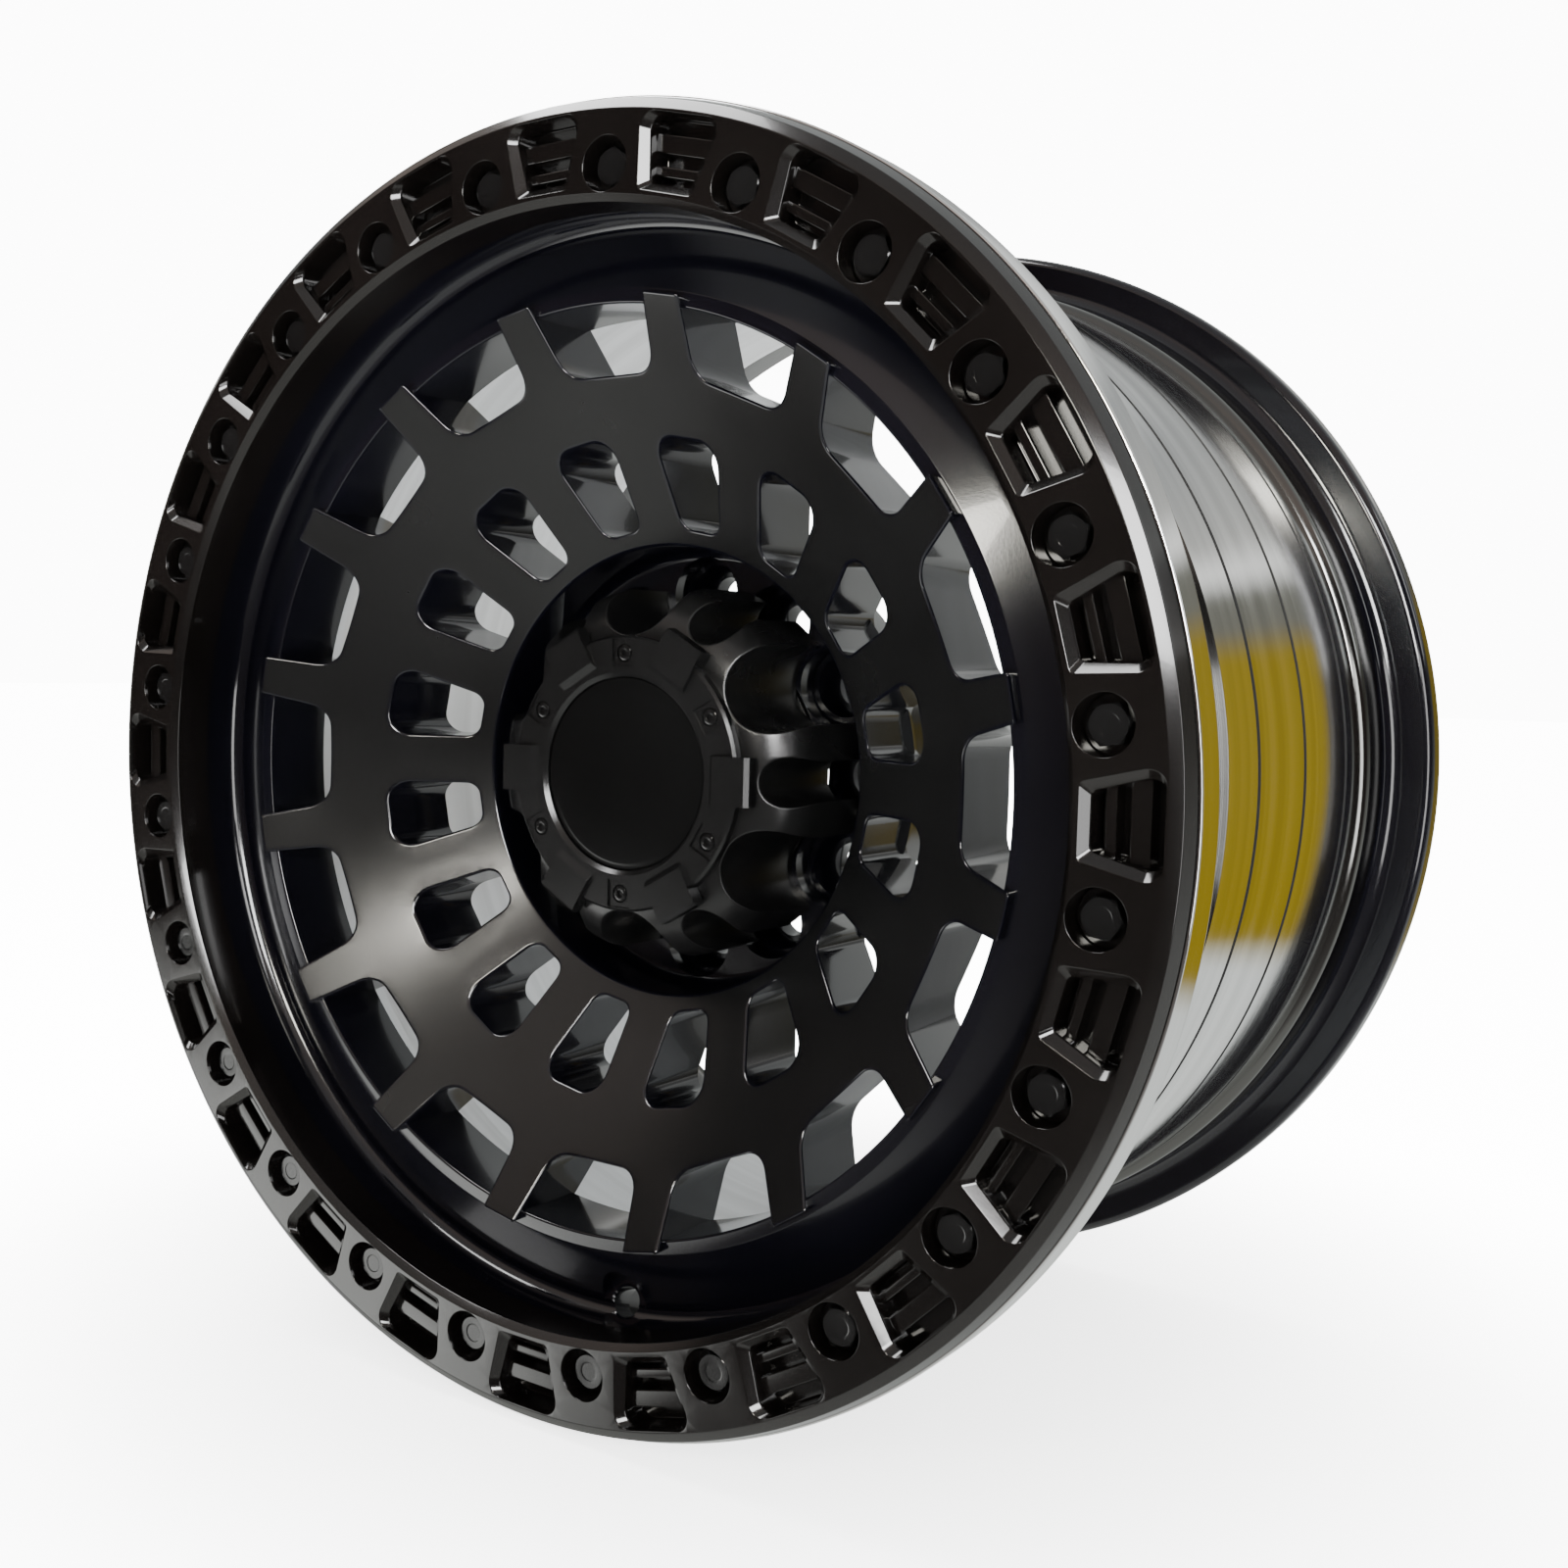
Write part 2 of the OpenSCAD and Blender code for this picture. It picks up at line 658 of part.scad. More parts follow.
// The tall cap over the hub, with scallops round the lug nuts
module centre_cap() {
  shoulder_r = cap_radius - cap_shoulder;
  color([0.07, 0.07, 0.07])
    upright()
      difference() {
        rotate_extrude()
          polygon(concat(
            [[0, cap_top]],
            arc(shoulder_r, cap_top + cap_shoulder, cap_shoulder, -90, 0, 8),
            [
              [cap_radius, pad_depth],
              [cap_seat_r - clearance, pad_depth],
              [cap_seat_r - clearance, pad_depth + cap_spigot - edge_break],
              [cap_seat_r - clearance - edge_break, pad_depth + cap_spigot],
              [cap_hollow_radius, pad_depth + cap_spigot],
              [cap_hollow_radius, cap_top + cap_plate],
              [0, cap_top + cap_plate]
            ]
          ));
        for (i = [0:lug_count - 1]) {
          rotate(lug_pitch * (i + 0.5))
            translate([lug_circle_a / 2, 0, cap_top - over])
              cylinder(h = pad_depth - cap_top + over * 2, r = scallop_large);
          rotate(lug_pitch * i)
            translate([lug_circle_b / 2, 0, cap_top - over])
              cylinder(h = pad_depth - cap_top + over * 2, r = scallop_small, $fn = 64);
          rotate(lug_pitch * (i + 0.5))
            translate([cap_screw_circle, 0, cap_top - over])
              cylinder(h = cap_screw_length + over * 2, r = cap_screw_thread + clearance, $fn = 32);
        }
      }
}

// Trim ring on the end of the cap, with a tab over each small scallop
module cap_trim_ring() {
  color([0.09, 0.09, 0.09])
    upright()
      difference() {
        union() {
          rotate_extrude()
            polygon([
              [badge_radius + clearance, cap_face_depth + trim_slope[1]],
              [badge_radius + clearance + trim_slope[0], cap_face_depth],
              [trim_radius - edge_break, cap_face_depth],
              [trim_radius, cap_face_depth + edge_break],
              [trim_radius, cap_top],
              [badge_radius + clearance, cap_top]
            ]);
          for (i = [0:lug_count - 1])
            rotate(lug_pitch * i)
              translate([badge_radius + tab_start, tab_width / 2, 0])
                rotate([90, 0, 0])
                  linear_extrude(tab_width)
                    tab_side();
        }
        for (i = [0:lug_count - 1])
          rotate(lug_pitch * (i + 0.5))
            translate([cap_screw_circle, 0, cap_face_depth]) {
              translate([-screw_square / 2, -screw_square / 2, -over])
                cube([screw_square, screw_square, over + screw_square_depth]);
              translate([0, 0, -over])
                cylinder(h = screw_recess_depth + over, d = cap_screw_head + clearance * 3, $fn = 48);
              cylinder(h = trim_thickness + over, r = cap_screw_thread + clearance, $fn = 32);
            }
      }
}

// Side view of a tab: a raised top that falls away towards the badge
module tab_side() {
  reach = trim_radius + tab_reach - badge_radius - tab_start;
  polygon([
    [0, cap_face_depth],
    [tab_rise_length, cap_face_depth - tab_rise],
    [reach - tab_chamfer, cap_face_depth - tab_rise],
    [reach, cap_face_depth - tab_rise + tab_chamfer],
    [reach, cap_top],
    [0, cap_top]
  ]);
}

// The bare round badge inside the trim ring
module cap_badge() {
  color([0.04, 0.04, 0.04])
    upright()
      translate([0, 0, cap_top - badge_thickness])
        cylinder(h = badge_thickness, r = badge_radius);
}

// Cap screw number i, with a hexagon socket
module cap_screw(i) {
  head_top = cap_face_depth + screw_recess_depth - cap_screw_head_height;
  color([0.1, 0.1, 0.1])
    upright()
      rotate(lug_pitch * (i - 0.5))
        translate([cap_screw_circle, 0, head_top])
          difference() {
            union() {
              cylinder(h = cap_screw_head_height, d = cap_screw_head, $fn = 48);
              cylinder(
                h = cap_top + cap_screw_length - head_top,
                r = cap_screw_thread,
                $fn = 32
              );
            }
            translate([0, 0, -over])
              cylinder(h = over + socket_depth, d = socket_width / cos(30), $fn = 6);
          }
}

wheel_casting();
bolted_ring();
centre_cap();
cap_trim_ring();
cap_badge();
for (i = [1:bolt_count])
  ring_bolt(i);
for (i = [1:lug_count])
  cap_screw(i);
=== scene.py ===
"""A deep-dish six-stud car wheel, dressed for a studio photograph.

Pieces are drawn in wheel millimetres: x and y across the wheel, and depth behind the
front face of the bolted ring. place() turns those into the frame's metres.
"""

import math

import bmesh
import bpy
import numpy as np
from mathutils import Matrix, Vector
from mathutils.geometry import delaunay_2d_cdt


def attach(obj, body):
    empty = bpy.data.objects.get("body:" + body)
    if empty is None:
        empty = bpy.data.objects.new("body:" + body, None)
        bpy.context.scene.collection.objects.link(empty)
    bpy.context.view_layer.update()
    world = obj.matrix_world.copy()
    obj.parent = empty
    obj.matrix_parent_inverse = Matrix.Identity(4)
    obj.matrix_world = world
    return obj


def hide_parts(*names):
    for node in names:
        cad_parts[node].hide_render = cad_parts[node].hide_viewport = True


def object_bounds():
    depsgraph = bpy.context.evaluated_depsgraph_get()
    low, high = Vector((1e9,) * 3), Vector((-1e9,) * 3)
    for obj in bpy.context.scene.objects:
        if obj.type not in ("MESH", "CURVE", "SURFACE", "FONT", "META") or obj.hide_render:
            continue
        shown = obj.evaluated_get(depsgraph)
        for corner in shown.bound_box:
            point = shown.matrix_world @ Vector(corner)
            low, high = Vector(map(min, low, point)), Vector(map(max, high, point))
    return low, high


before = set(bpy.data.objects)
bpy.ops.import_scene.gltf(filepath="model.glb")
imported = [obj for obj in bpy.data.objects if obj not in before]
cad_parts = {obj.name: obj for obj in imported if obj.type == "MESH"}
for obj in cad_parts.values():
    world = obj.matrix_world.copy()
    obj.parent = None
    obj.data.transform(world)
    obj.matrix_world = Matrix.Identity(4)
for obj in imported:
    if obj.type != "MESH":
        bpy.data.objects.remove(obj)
CAD_BOX = [list(corner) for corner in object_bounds()]

# The frame's metres in wheel millimetres
MM = 0.001
TOTAL_DEPTH = (CAD_BOX[1][1] - CAD_BOX[0][1]) / MM
HALF_DEPTH = TOTAL_DEPTH / 2
BODY = "root"

# Points round the rim, the hub and cap, a face's inner points, and a small hole
SEGMENTS = 288
HUB_SEGMENTS = 192
GRID_COLUMNS = 144
HOLE_SEGMENTS = 48

# Rim, front to rear
FLANGE_R = 236.0
BEAD_R = 218.3
FRONT_FLANGE = 26.0
REAR_FLANGE = 280.0
WELL_R = 199.0
BARREL_FRONT_R = 211.5
BARREL_REAR_R = 214.5
BARREL_WALL = 7.5
GROOVES = 3
LIP_R = 203.0
LIP_DEPTH = 37.5
LIP_FILLET = 7.0
VALVE_ANGLE = -84.4
VALVE_LEAN = 20.0

# Bead seats, drop centre and plain barrel, which follow from the flanges
TOE_ROUND = 6.5
SEAT_WIDTH = 14.0
SEAT_ANGLE = 5
HUMP_ROUND = 5.0
HUMP_HALF = 3.2
SEAT_END_R = BEAD_R - math.tan(math.radians(SEAT_ANGLE)) * SEAT_WIDTH
HUMP_FRONT = FRONT_FLANGE + TOE_ROUND + SEAT_WIDTH + HUMP_HALF
HUMP_REAR = REAR_FLANGE - TOE_ROUND - SEAT_WIDTH - HUMP_HALF
WELL_FRONT = HUMP_FRONT + 12
WELL_REAR = HUMP_FRONT + 38
PLAIN_FRONT = WELL_REAR + 18
PLAIN_REAR = HUMP_REAR - 9

# Disc; spokes are the widths left between two windows, at their top and bottom
WINDOWS = 16
DISC_DEPTH = 40.0
DISC_SLOPE = 0.64
DISC_THICKNESS = 36.0
SPOKE_END_R = 174.5
STEP_DEPTH = 28.3
OUTER_TOP_R = 170.4
OUTER_BOTTOM_R = 148.7
OUTER_SPOKES = (16.0, 18.9)
OUTER_ROUNDS = (1.4, 9.0)
INNER_TOP_R = 127.4
INNER_BOTTOM_R = 94.4
INNER_SPOKES = (20.4, 20.0)
INNER_ROUNDS = (7.5, 5.5)
WINDOW_EDGE = 1.2
DISC_ROWS = (93, 99, 106, 113, 120, 127, 132, 138, 144, 150, 158, 166)

# Hub
LUG_WELL_R = 87.5
PAD_DEPTH = 106.0
MOUNTING_DEPTH = 134.0
BORE_R = 53.05
CAP_SEAT_R = 53.85
CAP_SEAT_DEPTH = 11.5
LUGS = 6
LUG_CIRCLES = ((30.0, 69.85), (0.0, 67.5))
LUG_HOLE_R = 7.75
NUT_SEAT = (115.0, 122.8)
SOCKET_R = 15.0

# Bolted ring, and the joint drawn open between it and the casting
RING_BORE_R = 199.5
RING_DEPTH = 18.0
RING_REBATE_R = 230.7
RING_RIM_DEPTH = 8.0
JOINT = 0.3
BOLTS = 24
BOLT_CIRCLE_R = 211.6
BOLT_WIDTH = 12.0
RECESS_R = 9.3
RECESS_EDGE = 0.25
RECESS_DEPTH = 9.0
POCKET_DEPTH = 12.0
POCKET_SHOULDER_R = 222.6
BAR_TOP = 6.0
BARS = ((216.4, 6.4), (209.0, 3.6))

# Centre cap
CAP_TOP = 56.0
CAP_R = 73.0
CAP_SHOULDER = 23.0
CAP_HOLLOW_R = 47.0
CAP_HOLLOW_TOP = 64.0
SCALLOPS = ((0.0, 67.5, 9.0, 20), (30.0, 69.85, 17.0, 28))
BADGE_R = 36.7
BADGE_DEPTH = 53.8
SCREW_CIRCLE_R = 45.8
SCREW_ANGLE = 30.0
SCREW_TOP = 52.8


def place(x, y, depth):
    """A point in wheel millimetres as a point in the frame's metres."""
    return (x * MM, (depth - HALF_DEPTH) * MM, y * MM)


def polar(radius, angle):
    """The point at a radius and an angle in degrees."""
    return (radius * math.cos(math.radians(angle)), radius * math.sin(math.radians(angle)))


def arc(x, y, radius, start, end, steps):
    """Points along an arc, both ends included."""
    turns = [start + (end - start) * i / steps for i in range(steps + 1)]
    return [(x + p[0], y + p[1]) for p in (polar(radius, a) for a in turns)]


def circle(radius, count=SEGMENTS, centre=(0.0, 0.0)):
    """A closed ring of points round a centre."""
    return [
        (centre[0] + p[0], centre[1] + p[1])
        for p in (polar(radius, 360 * i / count) for i in range(count))
    ]


def turned(points, angle):
    """The points turned round the wheel's axis."""
    c, s = math.cos(math.radians(angle)), math.sin(math.radians(angle))
    return [(x * c - y * s, x * s + y * c) for x, y in points]


def rounded(corners, radii, step=15.0):
    """A closed outline with each corner rounded to its own radius."""
    outline = []
    count = len(corners)
    for i, radius in enumerate(radii):
        before = Vector(corners[i - 1])
        here = Vector(corners[i])
        after = Vector(corners[(i + 1) % count])
        if radius <= 0:
            outline.append(tuple(here))
            continue
        u, v = (before - here).normalized(), (after - here).normalized()
        half = u.angle(v) / 2
        reach = radius / math.tan(half)
        centre = here + (u + v).normalized() * radius / math.sin(half)
        first, last = here + u * reach - centre, here + v * reach - centre
        swing = math.atan2(first.cross(last), first.dot(last))
        steps = max(2, round(abs(math.degrees(swing)) / step))
        for k in range(steps + 1):
            outline.append(tuple(centre + Matrix.Rotation(swing * k / steps, 2) @ first))
    return outline


def spaced(outline, gap):
    """The outline with its long stretches divided into steps of at most gap."""
    out = []
    for i, here in enumerate(outline):
        after = outline[(i + 1) % len(outline)]
        steps = max(1, math.ceil(math.dist(here, after) / gap))
        for k in range(steps):
            t = k / steps
            out.append((here[0] + (after[0] - here[0]) * t, here[1] + (after[1] - here[1]) * t))
    return out


def offset(outline, distance):
    """A counter-clockwise outline moved outwards, with mitred corners."""
    p = np.array(outline)
    edge = np.roll(p, -1, 0) - p
    edge /= np.linalg.norm(edge, axis=1)[:, None]
    normal = np.stack([edge[:, 1], -edge[:, 0]], 1)
    before = np.roll(normal, 1, 0)
    mitre = (normal + before) / (1 + (normal * before).sum(1))[:, None]
    return [tuple(q) for q in p + mitre * distance]


def inside(points, loops):
    """Which points lie inside the loops, by the even and odd rule."""
    p = np.array(points)
    odd = np.zeros(len(p), bool)
    for loop in loops:
        a = np.array(loop)
        b = np.roll(a, -1, 0)
        spans = (a[None, :, 1] > p[:, None, 1]) != (b[None, :, 1] > p[:, None, 1])
        rise = np.where(b[:, 1] == a[:, 1], 1.0, b[:, 1] - a[:, 1])
        cross = a[:, 0] + (p[:, None, 1] - a[:, 1]) * (b[:, 0] - a[:, 0]) / rise
        odd ^= (spans & (p[:, None, 0] < cross)).sum(1) % 2 == 1
    return odd


def polar_grid(radii, count, loops, margin):
    """Points on rings that lie inside the loops and keep clear of them."""
    points = np.array([polar(r, 360 * (i + 0.5) / count) for r in radii for i in range(count)])
    points = points[inside(points, loops)]
    edge = np.concatenate([np.array(loop) for loop in loops])
    near = np.array([np.hypot(*(edge - p).T).min() for p in points])
    return [tuple(p) for p in points[near > margin]]


def triangles(loops, extra=()):
    """Triangles that fill the loops, numbered in the order of the loops and the extra points."""
    points = [Vector(p) for loop in loops for p in loop] + [Vector(p) for p in extra]
    edges, start = [], 0
    for loop in loops:
        edges += [(start + i, start + (i + 1) % len(loop)) for i in range(len(loop))]
        start += len(loop)
    flat, _, faces, origin, _, _ = delaunay_2d_cdt(points, edges, [], 0, 1e-6)
    middles = [sum((flat[i] for i in f), Vector((0, 0))) / 3 for f in faces]
    kept = inside([tuple(m) for m in middles], loops)
    return [tuple(origin[i][0] for i in f) for f, keep in zip(faces, kept) if keep]


def edge_round(radius, steps=4):
    """Offset and drop of an edge rounded from a face down to a wall."""
    turns = [math.radians(90 * i / steps) for i in range(steps + 1)]
    return [(radius * (math.sin(t) - 1), radius * (1 - math.cos(t))) for t in turns]

def in_scene(name, data):
    """A new object in the scene's own collection."""
    obj = bpy.data.objects.new(name, data)
    bpy.context.scene.collection.objects.link(obj)
    return obj


class Solid:
    """A closed mesh built up from rings of points."""

    def __init__(self):
        self.points, self.faces, self.finishes = [], [], []

    def add(self, points):
        """Adds points of the frame; returns their numbers."""
        start = len(self.points)
        self.points += points
        return list(range(start, len(self.points)))

    def ring(self, points, depth):
        """Adds points at one depth, or at the depth of a function of x and y."""
        depth_at = depth if callable(depth) else lambda x, y: depth
        return self.add([place(x, y, depth_at(x, y)) for x, y in points])

    def bridge(self, a, b, finish):
        """Joins two rings of as many points with a band of quads."""
        for i in range(len(a)):
            j = (i + 1) % len(a)
            self.faces.append((a[i], a[j], b[j], b[i]))
            self.finishes.append(finish)

    def stack(self, rings, finish):
        """Joins a run of rings, each to the next."""
        for a, b in zip(rings, rings[1:]):
            self.bridge(a, b, finish)

    def fill(self, ring, finish):
        """Closes a ring with one flat face."""
        self.faces.append(tuple(ring))
        self.finishes.append(finish)

    def column(self, rings, finish):
        """Joins a run of rings and closes both ends."""
        self.stack(rings, finish)
        self.fill(rings[0], finish)
        self.fill(rings[-1], finish)

    def patch(self, indices, faces, finish):
        """Adds triangles over points that are already there."""
        for f in faces:
            self.faces.append(tuple(indices[i] for i in f))
            self.finishes.append(finish)

    def lathe(self, sections, segments=SEGMENTS):
        """Turns a closed profile of (radius, depth) points; each section has its own finish."""
        rings, finishes = [], []
        for profile, finish in sections:
            for radius, depth in profile:
                rings.append(self.ring(circle(radius, segments), depth))
                finishes.append(finish)
        for i, finish in enumerate(finishes):
            self.bridge(rings[i], rings[(i + 1) % len(rings)], finish)

    def mesh(self, name, materials):
        """The finished mesh as an object, faces outwards."""
        data = bpy.data.meshes.new(name)
        data.from_pydata(self.points, [], self.faces)
        data.polygons.foreach_set("material_index", self.finishes)
        bm = bmesh.new()
        bm.from_mesh(data)
        bmesh.ops.remove_doubles(bm, verts=bm.verts, dist=1e-7)
        bmesh.ops.recalc_face_normals(bm, faces=bm.faces)
        bm.to_mesh(data)
        bm.free()
        for m in materials:
            data.materials.append(m)
        return in_scene(name, data)


def applied(obj):
    """Turns an object and its live modifiers into a plain mesh."""
    dg = bpy.context.evaluated_depsgraph_get()
    data = bpy.data.meshes.new_from_object(obj.evaluated_get(dg), depsgraph=dg)
    obj.modifiers.clear()
    old = obj.data
    obj.data = data
    name = old.name
    bpy.data.meshes.remove(old)
    data.name = name
    return obj


def cut(obj, cutter):
    """Takes the cutter's shape out of the object."""
    step = obj.modifiers.new("cut", "BOOLEAN")
    step.operation = "DIFFERENCE"
    step.solver = "EXACT"
    step.object = cutter
    applied(obj)
    bpy.data.objects.remove(cutter)
    return obj


def joined(name, objects):
    """One object that holds all the meshes, which share one list of materials."""
    bm = bmesh.new()
    for o in objects:
        bm.from_mesh(o.data)
    data = objects[0].data.copy()
    bm.to_mesh(data)
    bm.free()
    for o in objects:
        bpy.data.objects.remove(o)
    data.name = name
    return in_scene(name, data)


def smooth(obj, angle=38.0):
    """Smooth shading with crisp edges, weighted by the size of the faces."""
    data = obj.data
    data.polygons.foreach_set("use_smooth", [True] * len(data.polygons))
    data.set_sharp_from_angle(angle=math.radians(angle))
    step = obj.modifiers.new("weighted", "WEIGHTED_NORMAL")
    step.keep_sharp = True
    step.weight = 50
    return applied(obj)


def dress(obj, nodes):
    """Puts a finished piece on the wheel in place of its CAD nodes."""
    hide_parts(*nodes)
    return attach(obj, BODY)


# ---------------------------------------------------------------- finishes

# The part of its range that a noise texture mostly stays in
NOISE_RANGE = (0.3, 0.7)
RELIEF_DEPTH = 0.0004


def feed(tree, socket, value):
    """Links another socket to this one, or sets it to a constant."""
    if isinstance(value, bpy.types.NodeSocket):
        tree.links.new(value, socket)
    else:
        socket.default_value = value


def math_node(tree, operation, *values):
    """A maths node; each value is a socket or a number."""
    node = tree.nodes.new("ShaderNodeMath")
    node.operation = operation
    for socket, value in zip(node.inputs, values):
        feed(tree, socket, value)
    return node.outputs[0]


def noise_node(tree, place_at, scale, detail, dimensions="3D"):
    """A noise texture in space, or along one number with dimensions 1D."""
    node = tree.nodes.new("ShaderNodeTexNoise")
    node.noise_dimensions = dimensions
    feed(tree, node.inputs["W" if dimensions == "1D" else "Vector"], place_at)
    feed(tree, node.inputs["Scale"], scale)
    feed(tree, node.inputs["Detail"], detail)
    return node.outputs["Fac"]


def map_range(tree, value, source, target=(0.0, 1.0)):
    """Maps a value from one range onto another, with sockets or numbers as limits."""
    node = tree.nodes.new("ShaderNodeMapRange")
    feed(tree, node.inputs["Value"], value)
    labels = ("From Min", "From Max", "To Min", "To Max")
    for label, limit in zip(labels, (*source, *target)):
        feed(tree, node.inputs[label], limit)
    return node.outputs["Result"]


def mix_node(tree, factor, a, b):
    """A mix of two colours."""
    node = tree.nodes.new("ShaderNodeMix")
    node.data_type = "RGBA"
    for label, value in (("Factor", factor), ("A", a), ("B", b)):
        feed(tree, node.inputs[label], value)
    return node.outputs["Result"]


def object_place(tree):
    """The place on the object, in its own coordinates."""
    return tree.nodes.new("ShaderNodeTexCoord").outputs["Object"]


def grain_group(name, fine_scale, patch_scale):
    """An empty shader group that is to give roughness, shade and height."""
    tree = bpy.data.node_groups.new(name, "ShaderNodeTree")
    for label, value in (
        ("Gloss Low", 0.2),
        ("Gloss High", 0.3),
        ("Fine Scale", fine_scale),
        ("Patch Scale", patch_scale),
    ):
        socket = tree.interface.new_socket(label, in_out="INPUT", socket_type="NodeSocketFloat")
        socket.default_value = value
    for label in ("Roughness", "Shade", "Height"):
        tree.interface.new_socket(label, in_out="OUTPUT", socket_type="NodeSocketFloat")
    return tree, tree.nodes.new("NodeGroupInput").outputs


def close_group(tree, start, gloss, shade, height):
    """Ends a grain group: gloss spreads over the roughness limits."""
    end = tree.nodes.new("NodeGroupOutput")
    rough = map_range(tree, gloss, NOISE_RANGE, (start["Gloss Low"], start["Gloss High"]))
    for label, value in (("Roughness", rough), ("Shade", shade), ("Height", height)):
        tree.links.new(value, end.inputs[label])
    return tree


def coat_group():
    """Sprayed coat: slow changes of gloss and shade, and a fine orange-peel height."""
    tree, start = grain_group("sprayed_coat", 900.0, 14.0)
    place_at = object_place(tree)
    patches = noise_node(tree, place_at, start["Patch Scale"], 4.0)
    peel = noise_node(tree, place_at, start["Fine Scale"], 2.0)
    shade = map_range(tree, patches, NOISE_RANGE, (0.75, 1.25))
    return close_group(tree, start, patches, shade, peel)


def turning_group():
    """Lathe marks: fine lines round the wheel's axis, broken up slowly along their length."""
    tree, start = grain_group("turning_marks", 1500.0, 9.0)
    place_at = object_place(tree)
    split = tree.nodes.new("ShaderNodeSeparateXYZ")
    tree.links.new(place_at, split.inputs[0])
    across, depth, up = split.outputs
    across = math_node(tree, "MULTIPLY", across, across)
    up = math_node(tree, "MULTIPLY", up, up)
    radius = math_node(tree, "SQRT", math_node(tree, "ADD", across, up))
    along = math_node(tree, "ADD", math_node(tree, "MULTIPLY", radius, 0.7), depth)
    lines = noise_node(tree, along, start["Fine Scale"], 3.0, "1D")
    bands = noise_node(tree, along, 90.0, 2.0, "1D")
    patches = noise_node(tree, place_at, start["Patch Scale"], 2.0)
    band_part = math_node(tree, "MULTIPLY", bands, 0.6)
    patch_part = math_node(tree, "MULTIPLY", patches, 0.4)
    gloss = math_node(tree, "ADD", band_part, patch_part)
    shade = map_range(tree, bands, NOISE_RANGE, (0.9, 1.08))
    return close_group(tree, start, gloss, shade, lines)


def finish_material(name, colour, group, roughness, fine_scale, bump, sockets):
    """A Principled finish whose shade, roughness and bump come from a shared group."""
    material = bpy.data.materials.new(name)
    material.use_nodes = True
    tree = material.node_tree
    shader = tree.nodes["Principled BSDF"]
    grain = tree.nodes.new("ShaderNodeGroup")
    grain.node_tree = group
    for label, value in zip(("Gloss Low", "Gloss High", "Fine Scale"), (*roughness, fine_scale)):
        grain.inputs[label].default_value = value
    tint = tree.nodes.new("ShaderNodeVectorMath")
    tint.operation = "SCALE"
    tint.inputs[0].default_value = colour
    tree.links.new(grain.outputs["Shade"], tint.inputs["Scale"])
    tree.links.new(tint.outputs[0], shader.inputs["Base Color"])
    tree.links.new(grain.outputs["Roughness"], shader.inputs["Roughness"])
    relief = tree.nodes.new("ShaderNodeBump")
    relief.inputs["Strength"].default_value = bump
    relief.inputs["Distance"].default_value = RELIEF_DEPTH
    tree.links.new(grain.outputs["Height"], relief.inputs["Height"])
    tree.links.new(relief.outputs["Normal"], shader.inputs["Normal"])
    for label, value in sockets.items():
        shader.inputs[label].default_value = value
    return material


def make_finishes():
    """Every finish of the wheel: colour, grain, roughness, fine scale, bump, other sockets."""
    coat, turning = coat_group(), turning_group()
    black, metal = (0.0016, 0.0016, 0.0016), {"Metallic": 1.0}
    lip, ring = (0.0008, 0.0008, 0.0014), (0.0011, 0.0009, 0.0008)
    table = {
        "disc": ("satin_black_coat", (0.0012,) * 3, coat, (0.22, 0.28), 900, 0.03, {}),
        "lip": ("gloss_black_coat", lip, coat, (0.11, 0.17), 900, 0.02, {"Coat Weight": 0.3}),
        "barrel": (
            "turned_barrel", (0.84, 0.85, 0.85), turning, (0.07, 0.12), 1500, 0.012, metal,
        ),
        "inner_barrel": (
            "inner_barrel_metal", (0.62, 0.63, 0.64), turning, (0.3, 0.45), 800, 0.08,
            {"Metallic": 0.85},
        ),
        # Dark metal of the rear bead seat, also used as painted shade on the drop centre's rear
        # wall
        "rear_seat_and_slope_shade": (
            "dark_seat_metal_and_slope_shade", (0.14, 0.14, 0.135), turning, (0.1, 0.16), 1500, 0.02, metal,
        ),
        # Near-black finish for the grooves' walls and floors: painted shade inside the grooves
        "groove": (
            "groove_painted_shade", (0.02,) * 3, turning, (0.3, 0.4), 1500, 0.05, {"Metallic": 0.6},
        ),
        "ring": ("ring_black_coat", ring, coat, (0.12, 0.18), 350, 0.02, {"Coat Weight": 0.2}),
        "cap": ("cap_satin_black", black, coat, (0.22, 0.3), 2500, 0.06, {}),
        "trim": ("trim_satin_black", black, coat, (0.14, 0.2), 2500, 0.06, {}),
        "badge": (
            "badge_black", (0.001,) * 3, coat, (0.11, 0.17), 900, 0.02,
            {"Specular IOR Level": 0.2},
        ),
        "bolt": ("bolt_black_steel", black, coat, (0.11, 0.17), 3000, 0.06, {}),
    }
    return {key: finish_material(*row) for key, row in table.items()}


# ---------------------------------------------------------------- casting

# The casting's finishes, by their place in its list of materials
CASTING_FINISHES = ("disc", "lip", "barrel", "inner_barrel", "groove", "rear_seat_and_slope_shade")
FACE, BLACK, BARREL, INSIDE, GROOVE_SHADE, DARK_SEAT_AND_SLOPE_SHADE = range(len(CASTING_FINISHES))


def disc_depth(radius):
    """Depth of the concave disc face."""
    return DISC_DEPTH - DISC_SLOPE * (radius - OUTER_BOTTOM_R)


def disc_face(x, y):
    """Depth of the disc face over a point."""
    return disc_depth(math.hypot(x, y))


def half_window(radius, spoke):
    """Half angle left for a window between two spokes."""
    return 180 / WINDOWS - math.degrees(math.asin(spoke / 2 / radius))


